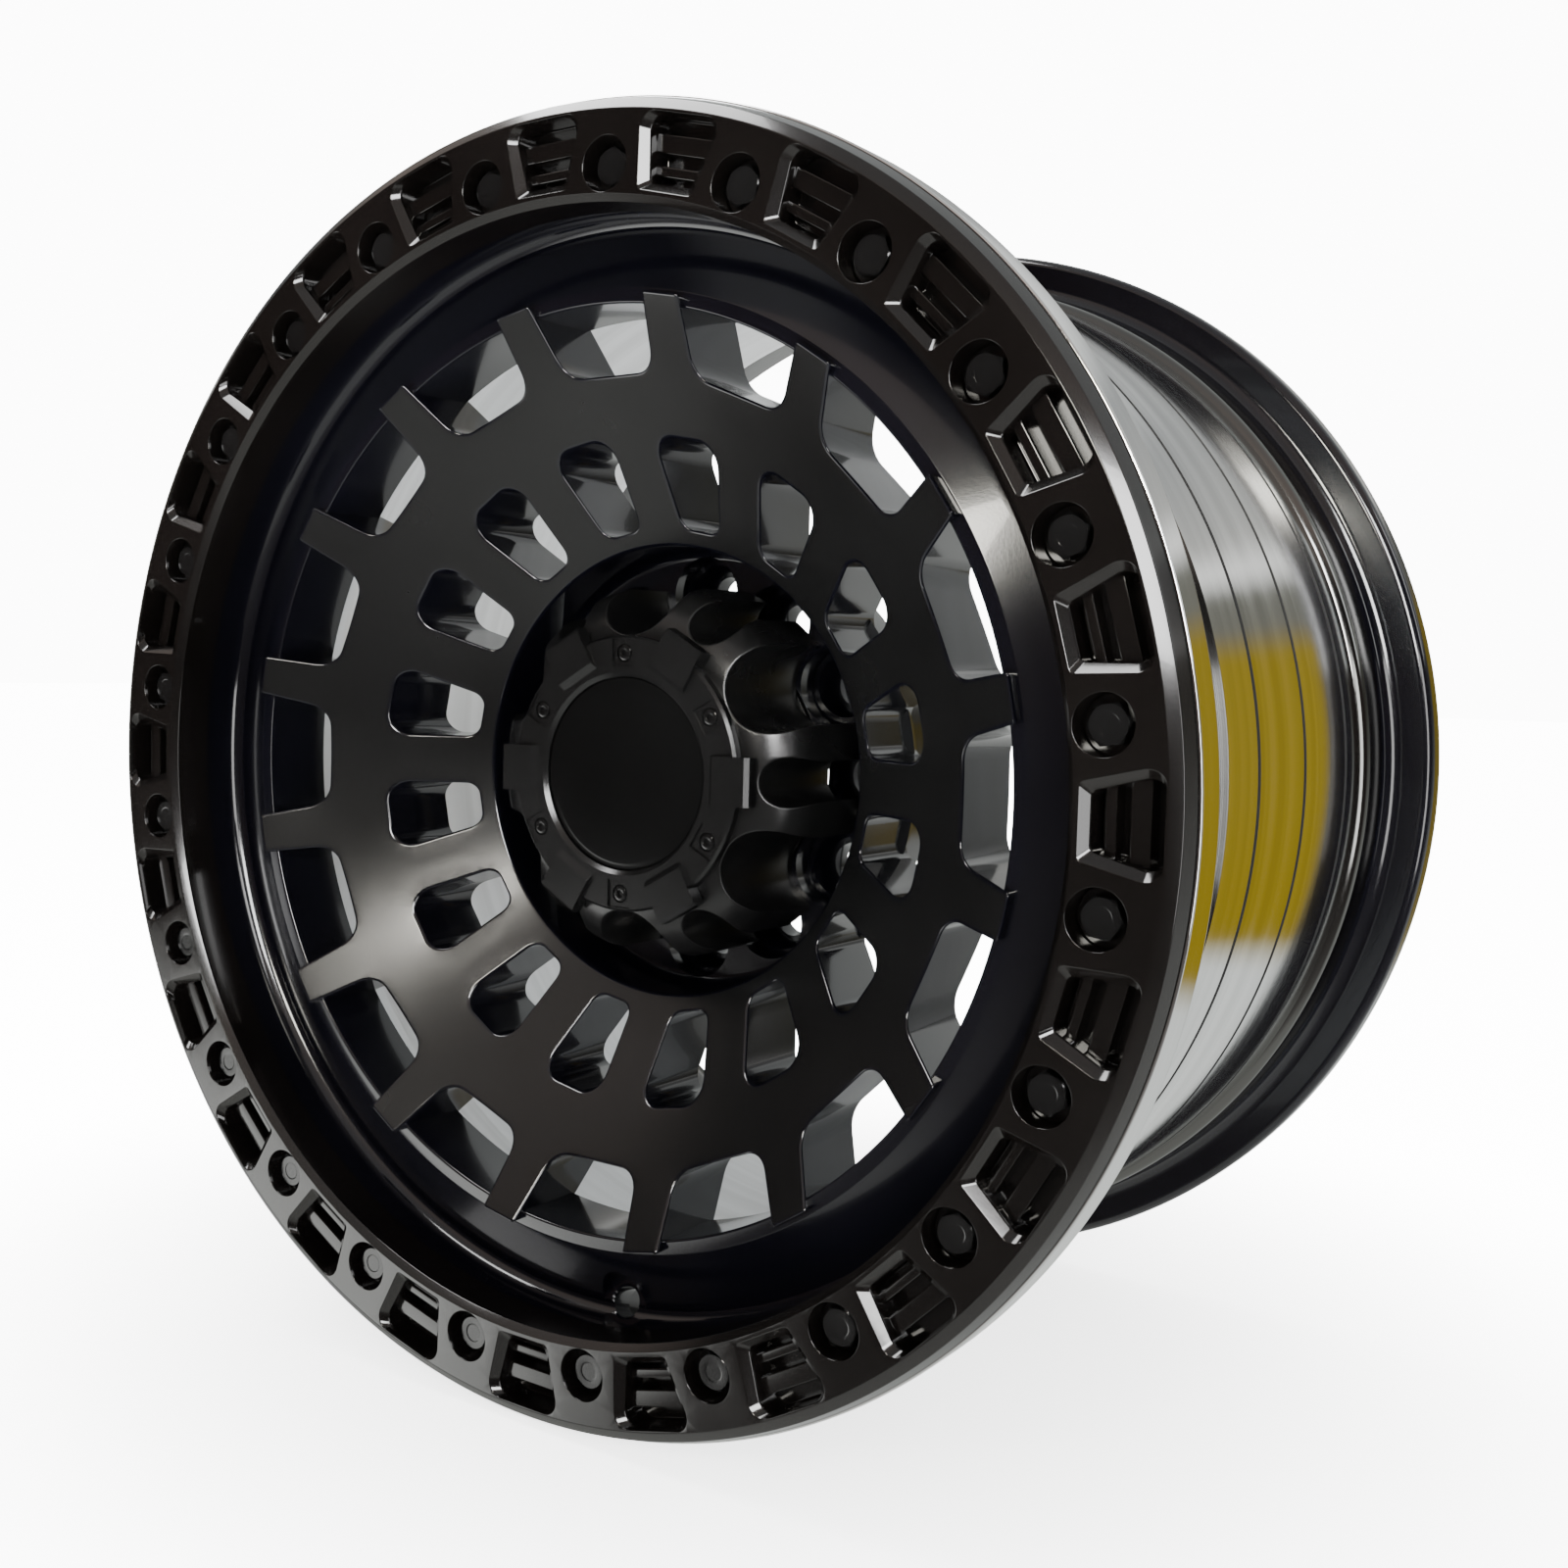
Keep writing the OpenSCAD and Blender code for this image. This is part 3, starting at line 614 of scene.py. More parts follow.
def disc_outline():
    """Outer edge of the disc: sixteen spoke ends with rounded openings between them."""
    corners, radii = [], []
    tip = half_window(SPOKE_END_R, OUTER_SPOKES[0])
    root = half_window(OUTER_BOTTOM_R, OUTER_SPOKES[1])
    tip_round, root_round = OUTER_ROUNDS
    for k in range(WINDOWS):
        middle = 360 / WINDOWS * k
        for radius, angle, corner in (
            (SPOKE_END_R, -tip, tip_round),
            (OUTER_BOTTOM_R, -root, root_round),
            (OUTER_BOTTOM_R, root, root_round),
            (SPOKE_END_R, tip, tip_round),
        ):
            corners.append(polar(radius, middle + angle))
            radii.append(corner)
    return spaced(rounded(corners, radii, 12.0), 5.0)


def inner_windows():
    """Outlines of the sixteen inner windows."""
    top = half_window(INNER_TOP_R, INNER_SPOKES[0])
    bottom = half_window(INNER_BOTTOM_R, INNER_SPOKES[1])
    corners = [
        polar(INNER_BOTTOM_R, -bottom),
        polar(INNER_TOP_R, -top),
        polar(INNER_TOP_R, top),
        polar(INNER_BOTTOM_R, bottom),
    ]
    high, low = INNER_ROUNDS
    one = spaced(rounded(corners, (low, high, high, low), 12.0), 4.0)
    return [turned(one, 360 / WINDOWS * (k + 0.5)) for k in range(WINDOWS)]


def make_disc(finishes):
    """The windowed disc, with rounded edges front and rear."""
    solid = Solid()
    outlines = [(disc_outline(), 1), (circle(LUG_WELL_R), -1)]
    outlines += [(w, -1) for w in inner_windows()]
    edge = edge_round(WINDOW_EDGE)
    steps = edge + [(o, DISC_THICKNESS - d) for o, d in reversed(edge)]
    runs = [[offset(outline, o * side) for o, _ in steps] for outline, side in outlines]
    loops = [run[0] for run in runs]
    grid = polar_grid(DISC_ROWS, GRID_COLUMNS, loops, 2.2)
    faces = triangles(loops, grid)
    front, back = [], []
    for run in runs:
        rings = []
        for loop, (_, drop) in zip(run, steps):
            rings.append(solid.ring(loop, lambda x, y, drop=drop: disc_face(x, y) + drop))
        solid.stack(rings, BLACK)
        front += rings[0]
        back += rings[-1]
    front += solid.ring(grid, disc_face)
    back += solid.ring(grid, lambda x, y: disc_face(x, y) + DISC_THICKNESS)
    solid.patch(front, faces, FACE)
    solid.patch(back, faces, BLACK)
    return solid.mesh("disc", finishes)


def front_outside():
    """Front flange, bead seat, hump and drop centre."""
    front, edge = RING_RIM_DEPTH + JOINT, 0.8
    seat = (
        [(RING_REBATE_R + JOINT, front), (FLANGE_R - edge, front)]
        + arc(FLANGE_R - edge, front + edge, edge, -60, 0, 3)
        + arc(FLANGE_R - 4, FRONT_FLANGE - 4, 4, 0, 90, 8)
        + arc(BEAD_R + TOE_ROUND, FRONT_FLANGE + TOE_ROUND, TOE_ROUND, 270, 180, 8)
        + [(SEAT_END_R, HUMP_FRONT - HUMP_HALF)]
        + arc(BEAD_R - HUMP_ROUND, HUMP_FRONT, HUMP_ROUND, -40, 70, 8)
        + arc(WELL_R + 6, WELL_FRONT + 6, 6, 270, 180, 8)
    )
    # The drop centre's rear wall takes the dark seat metal: painted shade that dims its reflection
    # on what is bright turned metal
    return [(seat, BARREL), (arc(WELL_R + 14, WELL_REAR, 14, 180, 130, 8), DARK_SEAT_AND_SLOPE_SHADE)]


def plain_barrel():
    """The plain barrel, slightly wider to the rear, with its turned grooves."""
    widening = BARREL_REAR_R - BARREL_FRONT_R
    sections = [([(BARREL_FRONT_R, PLAIN_FRONT)], BARREL)]
    # The grooves' walls and floors take the near-black finish, painted shade inside them
    walls = ((-1.5, 0, GROOVE_SHADE), (-1.35, 1.2, GROOVE_SHADE), (1.35, 1.2, GROOVE_SHADE), (1.5, 0, BARREL))
    for k in range(GROOVES):
        for shift, sink, finish in walls:
            depth = PLAIN_FRONT + 30 + 50 * k + shift
            share = (depth - PLAIN_FRONT) / (PLAIN_REAR - PLAIN_FRONT)
            sections.append(([(BARREL_FRONT_R + widening * share - sink, depth)], finish))
    return sections + [([(BARREL_REAR_R, PLAIN_REAR)], BARREL)]


def rear_outside():
    """Rear hump, bead seat and flange."""
    seat = arc(BEAD_R - HUMP_ROUND, HUMP_REAR, HUMP_ROUND, -70, 40, 8)
    seat += [(SEAT_END_R, HUMP_REAR + HUMP_HALF)]
    flange = (
        arc(BEAD_R + TOE_ROUND, REAR_FLANGE - TOE_ROUND, TOE_ROUND, 180, 90, 8)
        + arc(FLANGE_R - 4, REAR_FLANGE + 4, 4, 270, 360, 8)
        + arc(FLANGE_R - 5, TOTAL_DEPTH - 5, 5, 0, 90, 8)
        + arc(FLANGE_R - 13, TOTAL_DEPTH - 10, 10, 90, 158, 8)
        + [(FLANGE_R - 26, TOTAL_DEPTH - 19)]
    )
    return [(seat, DARK_SEAT_AND_SLOPE_SHADE), (flange, BLACK)]


def inside_of_rim():
    """The barrel's inside, rear to front."""
    front_r, rear_r, well_r = (r - BARREL_WALL for r in (BARREL_FRONT_R, BARREL_REAR_R, WELL_R))
    points = (
        [(rear_r + 1.5, PLAIN_REAR + 14), (rear_r + 0.3, PLAIN_REAR + 4)]
        + [(rear_r, PLAIN_REAR - 6), (front_r, PLAIN_FRONT + 12)]
        + arc(front_r - 12, PLAIN_FRONT + 10, 12, 0, -48, 6)
        + arc(well_r + 9, WELL_REAR - 5, 9, 132, 180, 6)
        + arc(well_r - 14, WELL_FRONT + 16, 14, 0, -72, 8)
    )
    return [(points, INSIDE)]


def front_lip():
    """The step under the spoke ends and the deep lip in front of them."""
    points = (
        [(178.0, 60.6), (OUTER_TOP_R + 0.8, 59.4), (OUTER_TOP_R, 58.6)]
        + arc(OUTER_TOP_R + 0.9, STEP_DEPTH + 0.9, 0.9, 180, 270, 4)
        + [(175.4, STEP_DEPTH), (175.9, STEP_DEPTH + 0.2)]
        + arc(LIP_R - LIP_FILLET, LIP_DEPTH - LIP_FILLET, LIP_FILLET, 69, 0, 12)
        + [(LIP_R, 24.0), (LIP_R, RING_DEPTH + JOINT), (RING_REBATE_R + JOINT, RING_DEPTH + JOINT)]
    )
    return [(points, BLACK)]


def along_valve(points):
    """Turns points drawn round the valve's own axis into the wheel's lip."""
    lean, turn = math.radians(VALVE_LEAN), math.radians(VALVE_ANGLE)
    moved = []
    for x, y, z in points:
        radial = LIP_R - 6 + x * math.cos(lean) + z * math.sin(lean)
        depth = LIP_DEPTH - x * math.sin(lean) + z * math.cos(lean)
        wheel_x = radial * math.cos(turn) - y * math.sin(turn)
        wheel_y = radial * math.sin(turn) + y * math.cos(turn)
        moved.append(place(wheel_x, wheel_y, depth))
    return moved


def valve_cutter(finishes):
    """Shape of the valve hole: flat seats front and rear, with a small chamfer at each."""
    seat_r, edge_r, hole_r = 10.0, 6.5, 5.75
    front, rear, chamfer = -1.0, 10.0, 0.75
    profile = [(seat_r, front - 15), (seat_r, front), (edge_r, front), (hole_r, front + chamfer)]
    profile += [(hole_r, rear - chamfer), (edge_r, rear), (seat_r, rear), (seat_r, rear + 24)]
    solid = Solid()
    rings = []
    for radius, height in profile:
        rings.append(solid.add(along_valve([(x, y, height) for x, y in circle(radius, 64)])))
    solid.column(rings, BLACK)
    return solid.mesh("valve_cutter", finishes)


def make_rim(finishes):
    """Lip, flanges and barrel, with the valve hole through the lip."""
    solid = Solid()
    outside = front_outside() + plain_barrel() + rear_outside()
    solid.lathe(outside + inside_of_rim() + front_lip())
    return cut(solid.mesh("rim", finishes), valve_cutter(finishes))


def lug_cutters(finishes):
    """Shapes of the twelve lug holes: socket clearance, nut seat, hole and rear chamfer."""
    seat_front, seat_rear = NUT_SEAT
    profile = [
        (SOCKET_R, 98.0),
        (SOCKET_R, seat_front - 0.6),
        (SOCKET_R - 0.6, seat_front),
        (LUG_HOLE_R + 4.5, seat_front),
        (LUG_HOLE_R, seat_rear),
        (LUG_HOLE_R, MOUNTING_DEPTH - 1),
        (LUG_HOLE_R + 2, MOUNTING_DEPTH + 1),
    ]
    solid = Solid()
    for phase, centre_r in LUG_CIRCLES:
        for k in range(LUGS):
            centre = polar(centre_r, phase + 360 / LUGS * k)
            rings = [solid.ring(circle(r, HOLE_SEGMENTS, centre), d) for r, d in profile]
            solid.column(rings, BLACK)
    return solid.mesh("lug_cutters", finishes)


def make_hub(finishes):
    """Lug well, pad, bore and mounting face, with its lug holes."""
    back_r = LUG_WELL_R + 3
    back = disc_depth(back_r) + DISC_THICKNESS
    seat_end = PAD_DEPTH + CAP_SEAT_DEPTH
    profile = (
        [(LUG_WELL_R + 1.5, 96.0), (LUG_WELL_R, 97.5)]
        + arc(LUG_WELL_R - 4, PAD_DEPTH - 4, 4, 0, 90, 6)
        + [(CAP_SEAT_R + 1, PAD_DEPTH), (CAP_SEAT_R, PAD_DEPTH + 1)]
        + [(CAP_SEAT_R, seat_end), (BORE_R, seat_end), (BORE_R, MOUNTING_DEPTH - 1.5)]
        + [(BORE_R + 1.5, MOUNTING_DEPTH), (LUG_WELL_R - 2, MOUNTING_DEPTH)]
        + arc(LUG_WELL_R, MOUNTING_DEPTH - 3, 3, 90, 0, 4)
        + arc(back_r + 5, back + 5, 5, 180, 240, 4)
        + [(back_r + 6, back - 8)]
    )
    solid = Solid()
    solid.lathe([(profile, BLACK)], HUB_SEGMENTS)
    return cut(solid.mesh("hub", finishes), lug_cutters(finishes))


def make_casting(looks):
    """Rim, disc and hub as the one casting that they are."""
    finishes = [looks[name] for name in CASTING_FINISHES]
    parts = [make_rim(finishes), make_disc(finishes), make_hub(finishes)]
    return dress(smooth(joined("wheel_body", parts)), ["wheel_casting"])


# ---------------------------------------------------------------- bolted ring


def pocket_loop(sides, end):
    """A pocket's outline, set in at its sides and inner end, and by end at its outer end."""
    inner, outer = 11.2 - sides, 15.75 - sides
    low, high = 203.4 + sides, 228.6 - end
    corners = [(low, -inner), (POCKET_SHOULDER_R, -outer), (high, -outer)]
    corners += [(high, outer), (POCKET_SHOULDER_R, outer), (low, inner)]
    return rounded(corners, (2.0, 0.0, 5.0, 5.0, 0.0, 2.0))


def add_pocket(solid, angle):
    """Walls and floor of one pocket; returns its loop in the ring's face."""
    # Depth, and how far the outline is set in at the sides and at the outer end
    steps = (
        (0.0, -0.25, -0.25),
        (0.07, -0.08, -0.08),
        (0.25, 0.1, 0.0),
        (2.55, 2.5, 0.0),
        (2.9, 2.75, 0.0),
        (3.5, 2.8, 0.02),
        (11.2, 2.95, 0.15),
        (11.8, 3.2, 0.4),
        (POCKET_DEPTH, 3.7, 0.9),
    )
    loops = [turned(pocket_loop(sides, end), angle) for _, sides, end in steps]
    rings = [solid.ring(loop, step[0]) for loop, step in zip(loops, steps)]
    solid.stack(rings, 0)
    solid.fill(rings[-1], 0)
    return loops[0], rings[0]


def add_bar(solid, angle, low, width):
    """A raised bar across a pocket's floor, with rounded top edges."""
    half = 8.9 + (low - 206.2) / (POCKET_SHOULDER_R - 206.2) * 4.55
    loop = [(low, -half), (low + width, -half - 1.2), (low + width, half + 1.2), (low, half)]
    rings = [solid.ring(turned(loop, angle), POCKET_DEPTH + 0.3)]
    for drop_in, rise in ((0.0, 0.8), (0.25, 0.25), (0.8, 0.0)):
        rings.append(solid.ring(turned(offset(loop, -drop_in), angle), BAR_TOP + rise))
    solid.column(rings, 0)


def add_recess(solid, angle):
    """The round hole that a bolt head sits in; returns its loop in the ring's face."""
    centre, chamfer = polar(BOLT_CIRCLE_R, angle), 0.4
    steps = [(RECESS_R - shift, depth) for shift, depth in edge_round(RECESS_EDGE, 3)]
    steps += [(RECESS_R, RECESS_DEPTH - chamfer), (RECESS_R - chamfer, RECESS_DEPTH)]
    rings = [solid.ring(circle(r, HOLE_SEGMENTS, centre), d) for r, d in steps]
    solid.stack(rings, 0)
    solid.fill(rings[-1], 0)
    return circle(RECESS_R + RECESS_EDGE, HOLE_SEGMENTS, centre), rings[0]


def ring_profile():
    """The ring's section from the outer edge of its face round to the inner edge."""
    bevel, bore = FLANGE_R - 6.4, RING_BORE_R
    outer = [(bevel - 0.3, 0.0), (bevel, 0.05), (bevel + 0.3, 0.22), (bevel + 3.4, 2.1)]
    outer += [(bevel + 3.7, 2.5), (bevel + 5.4, RING_RIM_DEPTH - 0.5)]
    outer += [(bevel + 5.0, RING_RIM_DEPTH), (RING_REBATE_R, RING_RIM_DEPTH)]
    inner = [(RING_REBATE_R, RING_DEPTH), (bore, RING_DEPTH), (bore, 2.8)]
    return outer + inner + [(bore + 0.12, 2.4), (bore + 2.35, 0.06), (bore + 2.45, 0.0)]


def make_ring(looks):
    """The bolted ring: flat face, bevelled rim, pockets with sloping ledges, bolt recesses."""
    solid = Solid()
    profile = ring_profile()
    rings = [solid.ring(circle(r), d) for r, d in profile]
    solid.stack(rings, 0)
    loops = [circle(profile[0][0]), circle(profile[-1][0])]
    indices = rings[0] + rings[-1]
    for k in range(BOLTS):
        pocket = add_pocket(solid, 360 / BOLTS * k)
        recess = add_recess(solid, 360 / BOLTS * (k + 0.5))
        for loop, ring in (pocket, recess):
            loops.append(loop)
            indices += ring
    solid.patch(indices, triangles(loops), 0)
    ring = solid.mesh("outer_ring", [looks["ring"]])
    bars = Solid()
    for k in range(BOLTS):
        for low, width in BARS:
            add_bar(bars, 360 / BOLTS * k, low, width)
    ring = joined("outer_ring", [ring, bars.mesh("bars", [looks["ring"]])])
    return dress(smooth(ring), ["bolted_ring"])


# ---------------------------------------------------------------- repeated fasteners


def fastener_circle_tree():
    """Geometry nodes that repeat the given fastener round the wheel's axis."""
    tree = bpy.data.node_groups.new("fastener_circle", "GeometryNodeTree")
    new_socket, new = tree.interface.new_socket, tree.nodes.new
    new_socket("Fastener", in_out="INPUT", socket_type="NodeSocketGeometry")
    count = new_socket("Count", in_out="INPUT", socket_type="NodeSocketInt")
    finish = new_socket("Finish", in_out="INPUT", socket_type="NodeSocketMaterial")
    new_socket("Circle", in_out="OUTPUT", socket_type="NodeSocketGeometry")
    start, end = new("NodeGroupInput").outputs, new("NodeGroupOutput").inputs
    points, index = new("GeometryNodePoints"), new("GeometryNodeInputIndex")
    share = math_node(tree, "DIVIDE", index.outputs[0], start["Count"])
    angle = math_node(tree, "MULTIPLY", share, math.tau)
    turn = new("ShaderNodeCombineXYZ")
    copies = new("GeometryNodeInstanceOnPoints")
    real, paint = new("GeometryNodeRealizeInstances"), new("GeometryNodeSetMaterial")
    for source, target in (
        (start["Count"], points.inputs["Count"]),
        (angle, turn.inputs["Y"]),
        (points.outputs[0], copies.inputs["Points"]),
        (start["Fastener"], copies.inputs["Instance"]),
        (turn.outputs[0], copies.inputs["Rotation"]),
        (copies.outputs[0], real.inputs[0]),
        (real.outputs[0], paint.inputs["Geometry"]),
        (start["Finish"], paint.inputs["Material"]),
        (paint.outputs[0], end["Circle"]),
    ):
        tree.links.new(source, target)
    return tree, count.identifier, finish.identifier


def repeated(obj, count, finish, tree_and_inputs):
    """The fastener repeated round the wheel, as one plain mesh."""
    tree, count_input, finish_input = tree_and_inputs
    step = obj.modifiers.new("circle", "NODES")
    step.node_group = tree
    step[count_input] = count
    step[finish_input] = finish
    return applied(obj)

def hexagon(width, angle, centre):
    """Points round a hexagon of that width across flats."""
    points = []
    for i in range(HOLE_SEGMENTS):
        a = 360 * i / HOLE_SEGMENTS
        x, y = polar(width / 2 / math.cos(math.radians((a % 60) - 30)), a + angle)
        points.append((centre[0] + x, centre[1] + y))
    return points


def make_bolts(looks, tree):
    """The ring bolts: chamfered hexagon heads with a shallow dish, seen from the front."""
    solid = Solid()
    angle = 360 / BOLTS / 2
    centre = polar(BOLT_CIRCLE_R, angle)
    top, seat, shank_r = 4.0, RECESS_DEPTH - 0.02, 4.0
    flat_r = BOLT_WIDTH / 2 * 0.985

    def round_at(radius, depth):
        return solid.ring(circle(radius, HOLE_SEGMENTS, centre), depth)

    rings = [round_at(3.0, top + 0.15), round_at(3.3, top + 0.1)]
    rings += [round_at(3.6, top), round_at(flat_r, top)]
    head = hexagon(BOLT_WIDTH, angle, centre)
    # The chamfer leaves the flats lower at the hexagon's corners
    rims = [top + 0.12 + (math.dist(p, centre) - flat_r) * 0.5 for p in head]
    rings.append(solid.add([place(x, y, depth) for (x, y), depth in zip(head, rims)]))
    rings.append(solid.ring(head, seat))
    rings += [round_at(shank_r, seat), round_at(shank_r, RING_DEPTH + 11)]
    solid.column(rings, 0)
    bolts = repeated(solid.mesh("ring_bolts", [looks["bolt"]]), BOLTS, looks["bolt"], tree)
    nodes = [f"ring_bolt_{i:02d}" for i in range(1, BOLTS + 1)]
    return dress(smooth(bolts, 25.0), nodes)


def make_cap_screws(looks, tree):
    """The cap screws: round heads with a hexagon socket."""
    solid = Solid()
    centre, top = polar(SCREW_CIRCLE_R, SCREW_ANGLE), SCREW_TOP
    socket = hexagon(2.5, SCREW_ANGLE, centre)
    rings = [solid.ring(socket, top + 1.0), solid.ring(socket, top + 0.1)]
    head = ((1.6, top), (2.5, top), (2.9, top + 0.2), (3.05, top + 0.6), (3.1, top + 1.8))
    shank = ((1.5, top + 1.8), (1.5, top + 8.2))
    for radius, depth in head + shank:
        rings.append(solid.ring(circle(radius, HOLE_SEGMENTS, centre), depth))
    solid.column(rings, 0)
    screws = repeated(solid.mesh("cap_screws", [looks["bolt"]]), LUGS, looks["bolt"], tree)
    nodes = [f"cap_screw_{i}" for i in range(1, LUGS + 1)]
    return dress(smooth(screws, 30.0), nodes)


# ---------------------------------------------------------------- centre cap


def cap_outline():
    """Plan of the cap: twelve fingers with large and small scallops between them."""
    hollows = []
    for k in range(LUGS):
        for phase, centre_r, radius, steps in SCALLOPS:
            middle = phase + 360 / LUGS * k
            swing = (CAP_R**2 - centre_r**2 - radius**2) / (2 * centre_r * radius)
            reach = 180 - math.degrees(math.acos(swing))
            x, y = polar(centre_r, middle)
            hollows.append(arc(x, y, radius, middle + 180 + reach, middle + 180 - reach, steps))
    outline = []
    for i, points in enumerate(hollows):
        outline += points
        after = hollows[(i + 1) % len(hollows)][0]
        a = math.degrees(math.atan2(points[-1][1], points[-1][0]))
        b = math.degrees(math.atan2(after[1], after[0]))
        b += 360 if b < a else 0
        outline += arc(0, 0, CAP_R, a, b, 9)[1:-1]
    return outline


def cap_face(x, y):
    """Depth of the cap's domed face over a point."""
    past = min(max(0.0, math.hypot(x, y) - (CAP_R - CAP_SHOULDER)), CAP_SHOULDER)
    return CAP_TOP + CAP_SHOULDER - math.sqrt(CAP_SHOULDER**2 - past**2)


def make_cap(looks):
    """The tall cap: domed shoulder, scalloped walls, spigot and hollow back."""
    outline, seat = cap_outline(), PAD_DEPTH - 0.02
    # The rounding of the edge fades out over the fingers' ends, which are on the dome's rim
    weights = [min(1.0, max(0.0, (CAP_R - math.hypot(*p)) / 2.5)) for p in outline]
    solid = Solid()
    rings, loops = [], []
    for shift, drop in edge_round(0.9):
        pairs = zip(outline, offset(outline, shift), weights)
        loop = [(p[0] + (q[0] - p[0]) * w, p[1] + (q[1] - p[1]) * w) for p, q, w in pairs]
        depths = [cap_face(x, y) + drop * w for (x, y), w in zip(loop, weights)]
        loops.append(loop)
        rings.append(solid.add([place(x, y, depth) for (x, y), depth in zip(loop, depths)]))
    rings.append(solid.ring(outline, seat))
    solid.stack(rings, 0)
    flat = CAP_R - CAP_SHOULDER
    radii = [20, 36, 46, 50]
    radii += [flat + CAP_SHOULDER * math.sin(math.radians(t)) for t in range(8, 86, 7)]
    grid = polar_grid(radii, GRID_COLUMNS, [loops[0]], 0.8)
    solid.patch(rings[0] + solid.ring(grid, cap_face), triangles([loops[0]], grid), 0)
    hollow = circle(CAP_HOLLOW_R, HUB_SEGMENTS)
    back = [solid.ring(hollow, seat), solid.ring(hollow, CAP_HOLLOW_TOP + 2)]
    solid.patch(rings[-1] + back[0], triangles([outline, hollow]), 0)
    back.append(solid.ring(circle(CAP_HOLLOW_R - 2, HUB_SEGMENTS), CAP_HOLLOW_TOP))
    solid.stack(back, 0)
    solid.fill(back[-1], 0)
    cap = joined("hub_cap", [solid.mesh("hub_cap", [looks["cap"]]), cap_spigot(looks["cap"])])
    return dress(smooth(cap), ["centre_cap"])


def cap_spigot(finish):
    """The spigot that centres the cap in its seat in the hub, let into the cap's back."""
    spigot_r, end, chamfer = CAP_SEAT_R - 0.3, PAD_DEPTH + 10, 0.8
    profile = [
        (CAP_HOLLOW_R + 0.5, PAD_DEPTH - 2),
        (spigot_r - 1.6, PAD_DEPTH - 2),
        (spigot_r - 1.6, PAD_DEPTH),
        (spigot_r, PAD_DEPTH),
        (spigot_r, end - chamfer),
        (spigot_r - chamfer, end),
        (CAP_HOLLOW_R + chamfer, end),
        (CAP_HOLLOW_R, end - chamfer),
        (CAP_HOLLOW_R, PAD_DEPTH),
        (CAP_HOLLOW_R + 0.5, PAD_DEPTH),
    ]
    solid = Solid()
    solid.lathe([(profile, 0)], HUB_SEGMENTS)
    return solid.mesh("cap_spigot", [finish])


def bevelled_copy(node, name, finish, width):
    """A copy of a CAD node, merged and with its sharp edges rounded."""
    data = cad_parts[node].data.copy()
    data.name = name
    bm = bmesh.new()
    bm.from_mesh(data)
    bmesh.ops.remove_doubles(bm, verts=bm.verts, dist=1e-6)
    bmesh.ops.dissolve_limit(
        bm,
        angle_limit=math.radians(0.5),
        verts=bm.verts,
        edges=bm.edges,
        use_dissolve_boundaries=False,
    )
    bm.to_mesh(data)
    bm.free()
    data.materials.clear()
    data.materials.append(finish)
    data.polygons.foreach_set("material_index", [0] * len(data.polygons))
    obj = in_scene(name, data)
    step = obj.modifiers.new("rounded", "BEVEL")
    step.limit_method = "ANGLE"
    step.angle_limit = math.radians(32)
    step.width = width * MM
    step.segments = 3
    return applied(obj)


def make_trim(looks):
    """The trim ring with its six tabs."""
    trim = smooth(bevelled_copy("cap_trim_ring", "trim_ring", looks["trim"], 0.35))
    return dress(trim, ["cap_trim_ring"])


def make_badge(looks):
    """The bare badge: a disc with a raised middle and a rounded edge."""
    middle, rim = BADGE_DEPTH, BADGE_DEPTH + 0.3
    profile = [(1.0, middle), (BADGE_R - 2.4, middle), (BADGE_R - 1.9, middle + 0.25)]
    profile += [(BADGE_R - 1.5, rim), (BADGE_R - 0.4, rim), (BADGE_R, rim + 0.4)]
    profile += [(BADGE_R, CAP_TOP)]
    solid = Solid()
    solid.column([solid.ring(circle(r, GRID_COLUMNS), d) for r, d in profile], 0)
    badge = smooth(solid.mesh("blank_badge", [looks["badge"]]))
    return dress(badge, ["cap_badge"])


# ---------------------------------------------------------------- studio

CAMERA_PLACE = (0.3962, -0.6142, 0.0429)
CAMERA_YAW, CAMERA_PITCH, CAMERA_ROLL = 0.6488, -0.0714, -0.02
CAMERA_LENS = 39.6
CAMERA_SHIFT = 0.10

# Brightness of the backdrop, of the soft light that fills the studio, and of the mirrored room
WHITE = 12.0
SOFT_LIGHT = 1.7
MIRROR_LIGHT = 1.3

# The floor glows white from the second radius outwards, and least within the first: a painted
# shadow pool round the wheel
PAINTED_SHADOW_REACH = (0.25, 0.55)
PAINTED_SHADOW_GLOW = 2.5
FLOOR_HALF = 12.0

# Lights aimed at the wheel: name, place, width and height, watts, colour
LIGHTS = (
    ("upper_left", (-0.8, -0.1, 1.75), (1.4, 0.8), 55, (1.0, 1.0, 1.0)),
    ("front_right", (1.08, -1.22, 0.64), (0.5, 0.6), 36, (1.0, 1.0, 1.0)),
    ("right", (1.5, -0.8, 0.0), (0.5, 0.9), 11, (1.0, 1.0, 1.0)),
    ("behind_camera", (0.28, -1.55, 0.66), (0.32, 0.24), 11, (1.0, 0.97, 0.88)),
    ("right_wall", (1.8, 0.5, 0.9), (0.5, 0.8), 4, (0.95, 0.98, 1.0)),
)

# Boards mirrored in the wheel: colour, softness, and their limits in direction X, Y and Z
BOARDS = (
    ((0.25, 0.18, 0.015), 0.02, (0.10, 0.43), (0.5, 2.0), (-0.29, 0.17)),
    ((3.2, 3.25, 3.15), 0.06, (-0.9, -0.57), (-2.0, -0.45), (-0.52, -0.2)),
)

